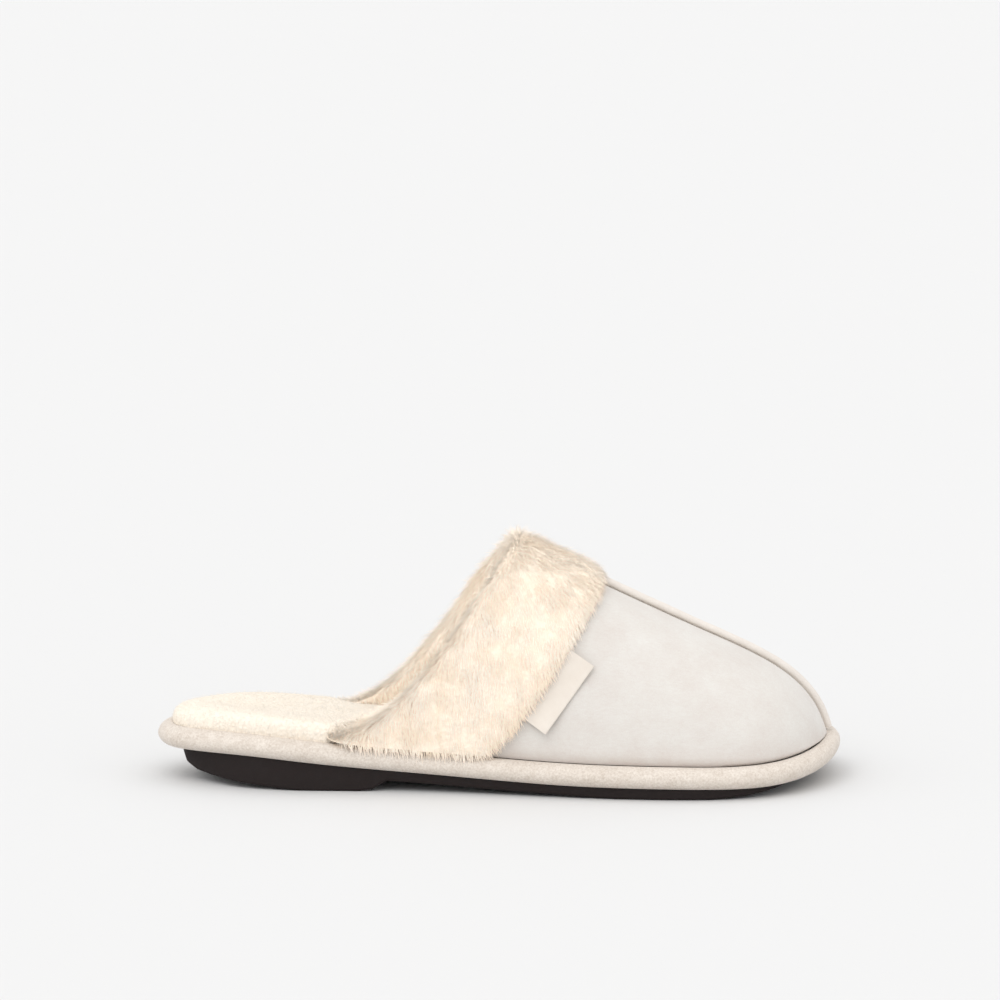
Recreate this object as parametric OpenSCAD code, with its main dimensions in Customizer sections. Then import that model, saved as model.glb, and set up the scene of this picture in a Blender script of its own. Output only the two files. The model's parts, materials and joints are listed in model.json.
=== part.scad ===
// Fluffy house slipper, right foot, open at the heel.
// A suede-covered foam platform on a rubber outsole carries a padded suede mule
// upper with a piped centre seam, a fleece lining and a turned-over fur cuff.
// +X is the toe, +Z is up, -Y is the outer (lateral) side of the foot, millimetres.
// The origin is on the ground under the middle of the slipper.

/* [Size] */
// Length over the platform, heel to toe
slipper_length = 264; // [240:2:290]

/* [Outsole] */
// How far the outsole stands in from the edge of the platform
outsole_inset = 3.8; // [3:0.1:5]
// Depth of the tread grooves
tread_depth = 1.2; // [0.4:0.1:1.5]
// Width of a tread groove
tread_w = 2.2; // [1.5:0.1:3]
// Spacing of the tread grooves
tread_pitch = 9; // [7:0.5:14]

/* [Platform] */
// Height of the covered foam platform
platform_h = 8.6; // [7:0.2:11]
// How far the upper stands in from the edge of the platform
feather_inset = 5.3; // [4.8:0.1:6.5]
// Thickness of the suede wrap round the platform
wrap_t = 1.2; // [0.8:0.1:1.6]

/* [Footbed] */
// Thickness of the insole board
board_t = 1.2; // [0.8:0.1:1.6]
// Thickness of the footbed foam
footbed_t = 3.0; // [2:0.2:5]
// Thickness of the plush footbed cover
plush_t = 1.8; // [1.2:0.1:2.6]

/* [Upper] */
// Thickness of the suede panels
suede_t = 1.4; // [1:0.1:1.8]
// Thickness of the padding behind the suede
padding_t = 2.6; // [1.5:0.1:3.5]
// Thickness of the fleece lining
lining_t = 3.0; // [2:0.1:4]
// Squareness of the upper's cross-section, where 2 is an ellipse
dome_power = 2.15; // [2:0.05:2.6]
// Radius of the piping along the centre seam
piping_r = 1.5; // [1.2:0.1:1.8]

/* [Opening and cuff] */
// Where the opening meets the platform
opening_side_x = -63; // [-75:1:-50]
// Where the opening reaches its top
opening_top_x = 8; // [0:1:16]
// Where the cuff's front edge meets the platform
cuff_side_x = -6; // [-14:1:0]
// Where the cuff's front edge crosses the centre seam
cuff_top_x = 42; // [34:1:50]
// Height of the fur pile
pile_h = 6; // [4:0.5:7]

/* [Side tab] */
// Length of the folded tab along the cuff seam
tab_length = 32; // [24:1:34]
// Width of the tab, from its sewn edge to its free edge
tab_width = 7.5; // [7:0.5:12]
// Thickness of the tab's folded tape
tab_t = 1.0; // [0.6:0.1:1.4]

/* [Hidden] */

base_length = 264;
grade = slipper_length / base_length;
fit = 0.1; // gap between sewn layers
arc_steps = 24; // steps across the upper from its lateral to its medial edge
thread_r = 0.35;
seam_gap = 1.2; // room for the piping's flange between the panels
stiffener_gap = 1.6; // room between suede and padding for the toe puff and the seam thread
puff_t = 0.6;
puff_x = 90;
toe_rise = 0.7; // how much taller the platform gets towards the toe
toe_rise_x = 80;

// Edge of the platform seen from above, heel to toe: [x, lateral y, medial y]
plan = [
    [-132.4, -5.5, 10.5], [-125, -16, 21], [-107, -26, 30.5], [-82, -32.5, 36.5], [-50, -32.5, 37],
    [-18, -36, 40], [18, -44, 45.5], [54, -49.5, 49.5], [86, -50, 50], [108, -43.5, 46],
    [123, -28.5, 37], [132.4, -7.5, 21.5],
];
plan_steps = 3;

// Underside of the platform seen from the side: [x, z]
bed_line = [
    [-132.5, 12.8], [-112, 13.4], [-92, 12.9], [-68, 10.2], [-40, 7.9], [0, 5.6], [30, 4.4],
    [60, 4.3], [86, 3.9], [104, 4], [120, 5.4], [132.5, 8.8],
];

// Ridge of the suede upper along its centre seam: [x, z]
ridge_line = [
    [-10, 99.4], [8, 91.2], [28, 81.8], [50, 71.5], [76, 59.3], [100, 48.8], [115, 38.6], [123.5, 27.1], [127, 15.9],
];

// Ground side of the outsole: [x, z], heel block first, then the forepart
heel_bottom = [
    [-122.5, 10], [-121, 6.4], [-117, 4.4], [-106, 2.8], [-90, 1.2], [-78, 0], [-54, 0], [-49, 0.8], [-45.2, 3],
];
fore_bottom = [[-43.5, 4.2], [-20, 2.9], [0, 1.9], [22, 1], [44, 0], [82, 0], [96, 1.4], [106, 2.7], [116, 4.3]];
outsole_front_x = 123;
outsole_back_x = -122;

// ---- curves -------------------------------------------------------------

// Point on a cubic B-spline span that starts at control i
function span(p, i, t) =
    ((1 - t)^3 * p[i] + (3 * t^3 - 6 * t^2 + 4) * p[i + 1]
        + (-3 * t^3 + 3 * t^2 + 3 * t + 1) * p[i + 2] + t^3 * p[i + 3]) / 6;

// Smooth line through the first and last control of p
function spline(p, steps = 8) =
    let (n = len(p), q = concat([2 * p[0] - p[1]], p, [2 * p[n - 1] - p[n - 2]]))
    [for (j = [0 : (n - 1) * steps]) let (i = min(floor(j / steps), n - 2)) span(q, i, j / steps - i)];

// Closed outline from plan rows: starts at the toe, runs back along the lateral side
function outline(rows, steps) =
    let (
        n = len(rows),
        c = concat([for (i = [n - 1 : -1 : 0]) [rows[i].x, rows[i].y]], [for (r = rows) [r.x, r[2]]]),
        m = 2 * n
    )
    [for (j = [0 : m * steps - 1])
        let (u = j / steps + 0.5, k = floor(u), w = [for (d = [-2 : 1]) c[(k + d + m) % m]]) span(w, 0, u - k)];

edge = outline(plan, plan_steps);
N = len(edge);
half = N / 2;
bed = spline(bed_line);
ridge = spline(ridge_line);

// Unit vector pointing into the outline at point i
function inward(i) = let (d = edge[(i + 1) % N] - edge[(i + N - 1) % N]) [d.y, -d.x] / norm(d);
// The outline moved inward by a distance, the same or a different one at each point
function inset(d) = [for (i = [0 : N - 1]) edge[i] + d * inward(i)];
function inset_each(d) = [for (i = [0 : N - 1]) edge[i] + d[i] * inward(i)];
function at_z(loop, dz) = [for (p = loop) [p.x, p.y, bed_z(p.x) + dz]];

function bed_z(x) = lookup(x, bed);
function joint_z(x) = bed_z(x) + platform_h + toe_rise * smooth((x - toe_rise_x) / (base_length / 2 - toe_rise_x));
function smooth(t) = let (u = min(1, max(0, t))) u * u * (3 - 2 * u);

// Lateral and medial side of an inset outline as [x, y] tables for lookup()
function side_table(d, side) =
    let (loop = inset(d)) [for (i = [0 : half]) let (p = loop[side < 0 ? i : (N - i) % N]) [p.x, p.y]];

centre = let (loop = inset(feather_inset)) [for (i = [0 : half]) (loop[i] + loop[(N - i) % N]) / 2];
function centre_y(x) = lookup(x, centre);
upper_tip_x = edge[0].x - feather_inset;

// ---- meshes -------------------------------------------------------------

// Closed skin through rings of N points each, capped straight across at both ends
module skin(rings) {
    last = (len(rings) - 1) * N;
    function cap(o) = concat(
        [[o, o + 1, o + N - 1]],
        [for (i = [1 : half - 2]) [o + i, o + i + 1, o + N - i - 1, o + N - i]],
        [[o + half - 1, o + half, o + half + 1]]
    );
    sides = [for (r = [0 : len(rings) - 2], i = [0 : N - 1]) let (a = r * N + i, b = r * N + (i + 1) % N)
        [a, b, b + N, a + N]];
    polyhedron([for (r = rings) each r], concat([for (f = cap(0)) flip(f)], sides, cap(last)), convexity = 6);
}
function flip(f) = [for (i = [len(f) - 1 : -1 : 0]) f[i]];

// Closed loop of section points swept round the outline: rings join last to first
module hoop(rings) {
    m = len(rings);
    polyhedron([for (r = rings) each r],
        [for (r = [0 : m - 1], i = [0 : N - 1])
            let (a = r * N, b = ((r + 1) % m) * N, j = (i + 1) % N) [a + i, a + j, b + j, b + i]],
        convexity = 6);
}

// Solid between two grids of equal size: outside rows and inside rows
module plate(outer, inner) {
    m = len(outer);
    n = len(outer[0]);
    k = m * n;
    border = concat(
        [for (j = [0 : n - 2]) j], [for (i = [0 : m - 2]) i * n + n - 1],
        [for (j = [n - 1 : -1 : 1]) (m - 1) * n + j], [for (i = [m - 1 : -1 : 1]) i * n]
    );
    faces = concat(
        [for (i = [0 : m - 2], j = [0 : n - 2], h = [0, 1]) let (a = i * n + j)
            h == 0 ? [a, a + n, a + n + 1] : [a, a + n + 1, a + 1]],
        [for (i = [0 : m - 2], j = [0 : n - 2], h = [0, 1]) let (a = k + i * n + j)
            h == 0 ? [a, a + n + 1, a + n] : [a, a + 1, a + n + 1]],
        [for (b = [0 : len(border) - 1]) let (p = border[b], q = border[(b + 1) % len(border)])
            [p, q, q + k, p + k]]
    );
    polyhedron([for (r = outer) each r, for (r = inner) each r], faces, convexity = 6);
}

// Tube of thread through a line of points
module thread(path, r, sides = 6) {
    m = len(path);
    rings = [for (i = [0 : m - 1])
        let (
            d = path[min(i + 1, m - 1)] - path[max(i - 1, 0)], t = d / norm(d),
            s = cross([0, 0, 1], t) / norm(cross([0, 0, 1], t)), v = cross(t, s)
        )
        [for (a = [0 : sides - 1]) path[i] + r * (cos(360 * a / sides) * s + sin(360 * a / sides) * v)]];
    polyhedron([for (g = rings) each g],
        concat(
            [[for (a = [0 : sides - 1]) a], [for (a = [sides - 1 : -1 : 0]) (m - 1) * sides + a]],
            [for (i = [0 : m - 2], a = [0 : sides - 1])
                let (p = i * sides, b = (a + 1) % sides) [p + a, p + sides + a, p + sides + b, p + b]]
        ));
}

// ---- the upper's surface ------------------------------------------------

// Share of the upper's width and height at angle a from its ridge
function dome_s(a) = abs(sin(a))^(2 / dome_power);
function dome_c(a) = abs(cos(a))^(2 / dome_power);

// Where the opening and the cuff's front edge lie at relative height c
function opening_x(c) = opening_side_x + (opening_top_x - opening_side_x) * c^0.6;
function cuff_x(c) = cuff_side_x + (cuff_top_x - cuff_side_x) * c^0.66;

// Point of the upper at station x and angle a (negative is lateral). depth is how far
// it lies under the outer face, lift how far its lower edge stands over the platform,
// and table the [x, y] side of the outline at that depth.
function upper_point(x, a, depth, lift, table, seam = 0) =
    let (
        pull = depth * max(0, (x - 60) / (upper_tip_x - 60))^2,
        px = x - pull, mid = centre_y(px), base = joint_z(px) + lift,
        top = lookup(x, ridge) - depth, side = sign(a),
        gap = side * seam / 2, reach = side * max(0, side * (lookup(px, table) - mid - gap))
    )
    [px, mid + gap + reach * dome_s(a), base + max(0.4, top - base) * dome_c(a)];

// Stations from x0 to the toe tip, closer together towards the tip
function stations(x0, n) = [for (i = [0 : n]) x0 + (upper_tip_x - x0) * (1 - (1 - i / n)^1.8)];

// Rows of points from angle a0 to a1, each from the opening (or from_x) to the toe
function upper_rows(depth, lift, a0, a1, rows, cols, from_x, set_back, seam = 0) =
    let (lat = side_table(feather_inset + depth, -1), med = side_table(feather_inset + depth, 1))
    [for (r = [0 : rows])
        let (a = a0 + (a1 - a0) * r / rows, x0 = is_undef(from_x) ? opening_x(dome_c(a)) + set_back : from_x)
        [for (x = stations(x0, cols)) upper_point(x, a, depth, lift, a < 0 ? lat : med, seam)]];

module upper_layer(depth, t, lift, a0 = -90, a1 = 90, rows = arc_steps, cols = 16, from_x = undef,
                   set_back = 0, seam = 0)
    plate(
        upper_rows(depth, lift, a0, a1, rows, cols, from_x, set_back, seam),
        upper_rows(depth + t, lift, a0, a1, rows, cols, from_x, set_back, seam)
    );

// ---- sole ---------------------------------------------------------------

// Section of the platform edge, t inside its outer face, as [inset, height] from
// the lower to the upper edge
function rim(t, steps = 6) = [for (i = [0 : steps]) let (a = -90 + 180 * i / steps)
    [t + (feather_inset - t) * (1 - cos(a)), platform_h / 2 + (platform_h / 2 - t) * sin(a)]];
function rim_ring(p) =
    [for (q = inset(p.x)) [q.x, q.y, bed_z(q.x) + (joint_z(q.x) - bed_z(q.x)) * p.y / platform_h]];

// The platform's outline moved inward, with more points than the soft layers need
function fine_inset(d, fine = outline(plan, 4)) =
    let (n = len(fine))
    [for (i = [0 : n - 1]) let (t = fine[(i + 1) % n] - fine[(i + n - 1) % n]) fine[i] + d * [t.y, -t.x] / norm(t)];

// Straight grooves across the tread, closed at both ends, one every tread_pitch
module tread(x0, x1)
    intersection() {
        linear_extrude(tread_depth * 2, center = true) polygon(fine_inset(outsole_inset + tread_margin));
        for (x = [x0 : tread_pitch : x1])
            translate([x, 0, 0]) cube([tread_w, 200, 2 * tread_depth], center = true);
    }
tread_margin = 5;
glue_gap = 0.05;

module outsole() color("#2a2523") graded() {
    top = [for (x = [outsole_front_x : -6 : outsole_back_x]) [x, bed_z(x) - glue_gap]];
    profile = concat(heel_bottom, fore_bottom, [[outsole_front_x, bed_z(outsole_front_x) - 0.8]], top);
    difference() {
        intersection() {
            linear_extrude(40) polygon(fine_inset(outsole_inset));
            rotate([90, 0, 0]) linear_extrude(140, center = true) polygon(profile);
        }
        tread(-74, -56);
        tread(46, 80);
    }
}

foam_flange = 9; // how far the wrap turns in over and under the foam

module platform_wrap() color("#efe6da") graded()
    hoop([for (p = concat(
        [[foam_flange, 0]], rim(0), [[foam_flange, platform_h]],
        [[foam_flange, platform_h - wrap_t]], flip(rim(wrap_t)), [[foam_flange, wrap_t]]
    )) rim_ring(p)]);

module platform_foam() color("#d9d4c8") graded()
    skin([for (p = rim(wrap_t + 0.05)) rim_ring(p)]);

module insole_board() color("#b49a78") graded() {
    loop = inset(feather_inset + suede_t + 4 * fit);
    skin([for (dz = [0.05, board_t]) [for (p = loop) [p.x, p.y, joint_z(p.x) + dz]]]);
}

// The footbed fills the upper at the front and the whole platform at the open heel
footbed_wide_x = 90; // how far behind the middle it begins to narrow
footbed_taper = 20;
footbed_toe = 5.5; // how much further it stops short of the toe, under the lining's slope
footbed_toe_x = 96;
lining_inset = feather_inset + suede_t + stiffener_gap + padding_t + lining_t + 3 * fit;
function footbed_inset(i, extra) =
    let (x = edge[i].x)
    extra + feather_inset + 4 * fit + (lining_inset - feather_inset) * smooth((x + footbed_wide_x) / footbed_taper)
        + footbed_toe * smooth((x - footbed_toe_x) / (base_length / 2 - footbed_toe_x));
function footbed_ring(extra, dz) =
    [for (p = inset_each([for (i = [0 : N - 1]) footbed_inset(i, extra)])) [p.x, p.y, joint_z(p.x) + dz]];
footbed_top = board_t + fit + footbed_t;

module footbed_foam() color("#f3dfae") graded()
    skin([
        footbed_ring(plush_t + fit, board_t + fit), footbed_ring(plush_t + fit + 0.3, board_t + fit + footbed_t * 0.6),
        footbed_ring(plush_t + 1.6, footbed_top - 0.3), footbed_ring(plush_t + 4, footbed_top),
    ]);

module footbed_plush() color("#fbf3e6") graded()
    skin([
        footbed_ring(plush_t + 4, footbed_top + fit), footbed_ring(plush_t + 1.5, footbed_top - 0.3 + fit),
        footbed_ring(plush_t + 0.1, board_t + fit + footbed_t * 0.6), footbed_ring(plush_t, board_t + fit),
        footbed_ring(0, board_t + fit), footbed_ring(-0.4, footbed_top * 0.7),
        footbed_ring(0.6, footbed_top + plush_t * 0.4), footbed_ring(3.5, footbed_top + plush_t),
    ]);

module feather_seam_thread() color("#f7f1e6") graded()
    hoop([for (a = [0 : 5]) let (d = feather_inset - 0.55 + thread_r * cos(60 * a), dz = 0.5 - thread_r * sin(60 * a))
        [for (q = inset(d)) [q.x, q.y, joint_z(q.x) + dz]]]);

// ---- upper --------------------------------------------------------------

module vamp_panel_lateral() color("#efebe7") graded()
    upper_layer(0, suede_t, 0.05, a0 = -90, a1 = -0.001, rows = arc_steps / 2, seam = seam_gap);

module vamp_panel_medial() color("#efebe7") graded()
    upper_layer(0, suede_t, 0.05, a0 = 0.001, a1 = 90, rows = arc_steps / 2, seam = seam_gap);

module toe_puff() color("#cfc8ba") graded()
    upper_layer(suede_t + 0.75, puff_t, board_t + 2 * fit, cols = 7, from_x = puff_x, seam = 1);

padding_depth = suede_t + stiffener_gap;
edge_gap = 1.4; // how far padding and lining stop short of the opening
module vamp_padding() color("#f1eee2") graded()
    upper_layer(padding_depth, padding_t, board_t + fit, set_back = edge_gap, seam = 1);

module vamp_lining() color("#fbf2e2") graded()
    upper_layer(padding_depth + padding_t + fit, lining_t, board_t + fit, set_back = edge_gap, seam = 1);

upper_t = padding_depth + padding_t + fit + lining_t;

// Tape that closes the raw edges of suede, padding and lining along the opening
function binding_line(depth, dx) =
    let (lat = side_table(feather_inset + depth, -1), med = side_table(feather_inset + depth, 1))
    [for (r = [0 : arc_steps]) let (a = -90 + 180 * r / arc_steps)
        upper_point(opening_x(dome_c(a)) + dx, a, depth, board_t + fit, a < 0 ? lat : med, 1)];

module topline_binding() color("#e9e0d2") graded()
    plate([for (dx = [-0.4, -1.2]) binding_line(0.3, dx)], [for (dx = [-0.4, -1.2]) binding_line(upper_t - 0.3, dx)]);

// ---- centre seam --------------------------------------------------------

piping_top_x = cuff_top_x + 1.5;

// Frames along the ridge of the upper: [point, sideways, outward]
function seam_frames(x0, x1, n) =
    [for (i = [0 : n])
        let (
            f = 1 - (1 - i / n)^1.4, x = x0 + (x1 - x0) * f, h = 0.4,
            p = [x, centre_y(x), lookup(x, ridge)],
            d = [2 * h, centre_y(x + h) - centre_y(x - h), lookup(x + h, ridge) - lookup(x - h, ridge)],
            t = d / norm(d), s = cross([0, 0, 1], t) / norm(cross([0, 0, 1], t))
        )
        [p, s, cross(t, s)]];

function place(f, q) = f[0] + q.x * f[1] + q.y * f[2];
function round_points(r, n, from, to) =
    [for (i = [0 : n - 1]) let (a = from + (to - from) * i / (n - 1)) r * [cos(a), sin(a)]];

module sweep_band(outer, inner, frames)
    plate(
        [for (q = outer) [for (f = frames) place(f, q)]],
        [for (q = inner) [for (f = frames) place(f, q)]]
    );

piping_end_x = upper_tip_x - 1.2;
cord_r = 0.7;
flange_half = 0.4;

// Suede strip folded round the cord: an open loop with a flange down between the panels
module centre_piping() color("#ddd2c9") graded() {
    frames = seam_frames(piping_top_x, piping_end_x, 20);
    lift = [0, piping_r - 0.2];
    outer = concat([[-flange_half, -suede_t]], [for (q = round_points(piping_r, 9, -105, -435)) q + lift],
        [[flange_half, -suede_t]]);
    inner = concat([[-0.05, -suede_t]], [for (q = round_points(cord_r + 0.1, 9, -94, -446)) q + lift],
        [[0.05, -suede_t]]);
    sweep_band(outer, inner, frames);
}

module piping_cord() color("#f4efe4") graded()
    thread([for (f = seam_frames(piping_top_x, piping_end_x, 20)) place(f, [0, piping_r - 0.2])], cord_r, 8);

module centre_seam_thread() color("#f7f1e6") graded()
    thread([for (f = seam_frames(piping_top_x, puff_x - 2, 10)) place(f, [0, -suede_t - 0.35])], 0.25);

// ---- cuff ---------------------------------------------------------------

// Fur band seen in section, from its front edge over the opening's edge to its end
// inside: [reference, dx, depth, lift]. Reference 0 is the cuff's front edge, 1 the
// opening's edge, and values between lie between them. Depth is negative outside.
pile_in = 3.4;
roll_x = 5;
inner_reach = 16;
inside_lift = footbed_top + plush_t + 0.4;
cuff_outer = [
    [0, 0, -0.8, 1], [0, 0.3, -pile_h * 0.55, 1], [0, -2.5, -pile_h * 0.95, 1], [0.35, 0, -pile_h, 1],
    [0.7, 0, -pile_h, 1], [1, 1.5, -pile_h * 0.9, 1], [1, -roll_x * 0.6, -pile_h * 0.45, 1.5],
    [1, -roll_x, upper_t * 0.35, 2.5], [1, -roll_x * 0.7, upper_t + pile_in * 0.4, 4],
    [1, 1, upper_t + pile_in, inside_lift], [1, inner_reach * 0.6, upper_t + pile_in, inside_lift],
    [1, inner_reach, upper_t + pile_in * 0.8, inside_lift],
];
cuff_inner = [
    [0, -0.2, -0.8, 1], [0, -1.4, -0.9, 1], [0, -3, -0.9, 1], [0.35, 0, -0.9, 1],
    [0.7, 0, -0.9, 1], [1, 1.5, -0.9, 1], [1, -1.5, -0.6, 1.5],
    [1, -1.8, upper_t * 0.4, 2.5], [1, -1.6, upper_t + 0.5, 4],
    [1, 1, upper_t + 0.6, inside_lift], [1, inner_reach * 0.6, upper_t + 0.6, inside_lift],
    [1, inner_reach, upper_t + 0.6, inside_lift],
];

function cuff_row(q) =
    let (lat = side_table(feather_inset + q[2], -1), med = side_table(feather_inset + q[2], 1))
    [for (r = [0 : arc_steps])
        let (a = -90 + 180 * r / arc_steps, c = dome_c(a), x = cuff_x(c) * (1 - q[0]) + opening_x(c) * q[0] + q[1])
        upper_point(x, a, q[2], q[3], a < 0 ? lat : med)];

module fur_cuff() color("#f8e7ce") graded()
    plate([for (q = cuff_outer) cuff_row(q)], [for (q = cuff_inner) cuff_row(q)]);

module cuff_seam_thread() color("#f7f1e6") graded() {
    depth = -0.45;
    lat = side_table(feather_inset + depth, -1);
    med = side_table(feather_inset + depth, 1);
    thread([for (r = [0 : 28]) let (a = -84 + 168 * r / 28)
        upper_point(cuff_x(dome_c(a)) - 4.5, a, depth, 1, a < 0 ? lat : med)], 0.3);
}

// ---- side tab -----------------------------------------------------------

tab_clear = 1.2; // how far the tab's sewn edge stands in front of the cuff
tab_low_a = -80; // angles on the upper between which the tab is sewn
tab_high_a = -57;
tab_strip_t = 0.5;
tab_round = 1;

lateral_face = side_table(feather_inset, -1);
function lateral_point(x, a, depth = 0) =
    upper_point(x, a, depth, 0.05, depth == 0 ? lateral_face : side_table(feather_inset + depth, -1));
function tab_point(a) = lateral_point(cuff_x(dome_c(a)) + tab_clear, a);

// The tab's frame: a point of its sewn edge, the edge's direction, outward and across
tab_mid_a = (tab_low_a + tab_high_a) / 2;
tab_mid = tab_point(tab_mid_a);
tab_along = let (d = tab_point(tab_high_a) - tab_point(tab_low_a)) d / norm(d);
tab_out = let (
        fore = lateral_point(tab_mid.x + 1, tab_mid_a) - lateral_point(tab_mid.x - 1, tab_mid_a),
        n = cross(tab_along, fore), out = n.y < 0 ? n : -n
    ) out / norm(out);
tab_across = cross(tab_along, tab_out);
tab_hinge = tab_mid + (0.35 + tab_t / 2) * tab_out;

module tab_frame() {
    m = [for (k = [0 : 2]) [tab_across[k], tab_along[k], tab_out[k], tab_hinge[k]]];
    multmatrix([m[0], m[1], m[2], [0, 0, 0, 1]]) children();
}

module graded() scale(grade) children();

// End of the tab's tape that is caught under the cuff
function tab_strip(depth, rows = 8) =
    [for (r = [0 : rows]) let (a = tab_low_a + (tab_high_a - tab_low_a) * r / rows, x = cuff_x(dome_c(a)))
        [for (dx = [-3.4, tab_clear - 0.6]) lateral_point(x + dx, a, depth)]];

module tab_base() color("#f3e8da") graded()
    plate(tab_strip(-0.12 - tab_strip_t), tab_strip(-0.12));

// Free part of the tab, which lifts about its sewn edge
module side_tab() color("#f3e8da") graded() tab_frame()
    translate([0, -tab_length / 2, -tab_t / 2]) linear_extrude(tab_t) union() {
        square([tab_width - tab_round, tab_length]);
        for (y = [tab_round, tab_length - tab_round]) translate([tab_width - tab_round, y]) circle(tab_round, $fn = 24);
        translate([0, tab_round]) square([tab_width, tab_length - 2 * tab_round]);
    }

outsole();
platform_foam();
platform_wrap();
insole_board();
footbed_foam();
footbed_plush();
vamp_panel_lateral();
vamp_panel_medial();
centre_piping();
piping_cord();
centre_seam_thread();
toe_puff();
vamp_padding();
vamp_lining();
topline_binding();
fur_cuff();
cuff_seam_thread();
feather_seam_thread();
tab_base();
side_tab();
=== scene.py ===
"""Fluffy house slipper: a suede mule with a fur cuff on a covered platform.

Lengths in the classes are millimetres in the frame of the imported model: +X is the
toe, +Z is up and -Y is the outer side of the foot. A mesh is turned into metres where
it is made.
"""
from __future__ import annotations

import sys

import json
import logging
import math
from dataclasses import dataclass
from enum import Enum
from functools import cached_property
from typing import Any, Callable, Iterable, Sequence

import bmesh
import bpy
import numpy as np
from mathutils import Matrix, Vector, noise


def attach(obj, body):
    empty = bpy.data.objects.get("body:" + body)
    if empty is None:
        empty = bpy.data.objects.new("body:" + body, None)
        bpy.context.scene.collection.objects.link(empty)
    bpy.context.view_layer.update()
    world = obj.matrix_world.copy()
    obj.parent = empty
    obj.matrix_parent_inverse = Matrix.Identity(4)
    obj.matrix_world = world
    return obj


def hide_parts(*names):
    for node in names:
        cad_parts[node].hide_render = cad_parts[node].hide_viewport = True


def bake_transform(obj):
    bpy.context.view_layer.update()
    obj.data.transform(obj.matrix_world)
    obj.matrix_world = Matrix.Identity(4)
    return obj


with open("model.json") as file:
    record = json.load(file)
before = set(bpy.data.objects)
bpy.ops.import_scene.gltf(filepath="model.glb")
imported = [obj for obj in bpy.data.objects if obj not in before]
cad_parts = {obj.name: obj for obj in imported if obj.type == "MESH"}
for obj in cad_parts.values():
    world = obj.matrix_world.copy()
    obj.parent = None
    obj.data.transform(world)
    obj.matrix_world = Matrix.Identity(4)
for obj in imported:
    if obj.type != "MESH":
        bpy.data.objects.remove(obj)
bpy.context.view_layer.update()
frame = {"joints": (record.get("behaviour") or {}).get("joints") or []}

log = logging.getLogger("slipper")

MM = 0.001
ONE_BAND = 0.314  # scale at which a wave texture has one band in each unit of length
Colour = tuple[float, float, float, float]
Grid = np.ndarray  # rows of points, shape (rows, columns, 3)


class Side(Enum):
    """Side of the foot, as the sign of Y."""

    LATERAL = -1
    MEDIAL = 1


class Body(Enum):
    """Moving bodies of the slipper."""

    SLIPPER = "slipper"
    TAB = "tab"


class Held(Enum):
    """How a sheet is held in its place."""

    FOLDED = "folded"
    STRETCHED = "stretched"


def srgb(red: int, green: int, blue: int) -> Colour:
    """Linear colour of a display colour.

    Args:
        red: Red channel, 0 to 255.
        green: Green channel.
        blue: Blue channel.

    Returns:
        The linear colour, opaque.
    """
    def linear(value: int) -> float:
        """Linear value of one display channel."""
        share = value / 255
        return share / 12.92 if share <= 0.04045 else ((share + 0.055) / 1.055) ** 2.4
    return (linear(red), linear(green), linear(blue), 1.0)


def smooth(t: Any) -> Any:
    """Smooth step from 0 to 1 of a number or an array."""
    u = np.clip(t, 0.0, 1.0)
    return u * u * (3 - 2 * u)


def ripple(points: Grid, size: float, seed: float, stretch: Sequence[float] = (1, 1, 1)) -> np.ndarray:
    """Smooth noise in the range -1 to 1 at each point.

    Args:
        points: Points in millimetres.
        size: Size of one swelling in millimetres.
        seed: Offset that picks the pattern.
        stretch: How much longer the pattern is along each axis.

    Returns:
        One value for each point, in the shape of the grid.
    """
    scaled = points.reshape(-1, 3) / (size * np.array(stretch, float)) + seed
    values = [noise.noise(Vector(p)) for p in scaled]
    return np.array(values).reshape(points.shape[:-1])


def unit(vectors: np.ndarray) -> np.ndarray:
    """Vectors brought to a length of one."""
    return vectors / np.maximum(np.linalg.norm(vectors, axis=-1, keepdims=True), 1e-9)


def travelled(line: np.ndarray) -> np.ndarray:
    """Distance along a line from its start to each of its points."""
    steps = np.linalg.norm(np.diff(line, axis=0), axis=1)
    return np.concatenate([[0.0], np.cumsum(steps)])


def linked(name: str, data: bpy.types.ID) -> bpy.types.Object:
    """New object in the scene."""
    made = bpy.data.objects.new(name, data)
    bpy.context.scene.collection.objects.link(made)
    return made


# ---------------------------------------------------------------- node trees


class NodeKit:
    """Makes the nodes of one tree."""

    def __init__(self, tree: bpy.types.NodeTree) -> None:
        """Start from an empty tree."""
        self.tree = tree
        tree.nodes.clear()

    def add(self, kind: str, settings: dict[str, Any] | None = None,
            sockets: dict[str | int, Any] | None = None) -> bpy.types.Node:
        """Add one node.

        Args:
            kind: Blender's type name of the node.
            settings: Properties of the node, set first.
            sockets: Values or links of the inputs, by name or number.

        Returns:
            The new node.
        """
        node = self.tree.nodes.new(kind)
        for name, value in (settings or {}).items():
            setattr(node, name, value)
        for key, value in (sockets or {}).items():
            self.feed(node.inputs[key], value)
        return node

    def feed(self, socket: bpy.types.NodeSocket, value: Any) -> None:
        """Link a socket to another one, or set its value.

        Args:
            socket: Input of a node of this tree.
            value: Output to link, or a plain value.
        """
        if isinstance(value, Sum):
            value = value.socket
        if isinstance(value, bpy.types.NodeSocket):
            self.tree.links.new(value, socket)
        else:
            socket.default_value = value

    def sum(self, node: bpy.types.Node, output: str | int = 0) -> "Sum":
        """An output of a node, ready for arithmetic."""
        return Sum(self, node.outputs[output])

    def wrap(self, socket: Any) -> "Sum":
        """A socket, ready for arithmetic."""
        return socket if isinstance(socket, Sum) else Sum(self, socket)


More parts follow.
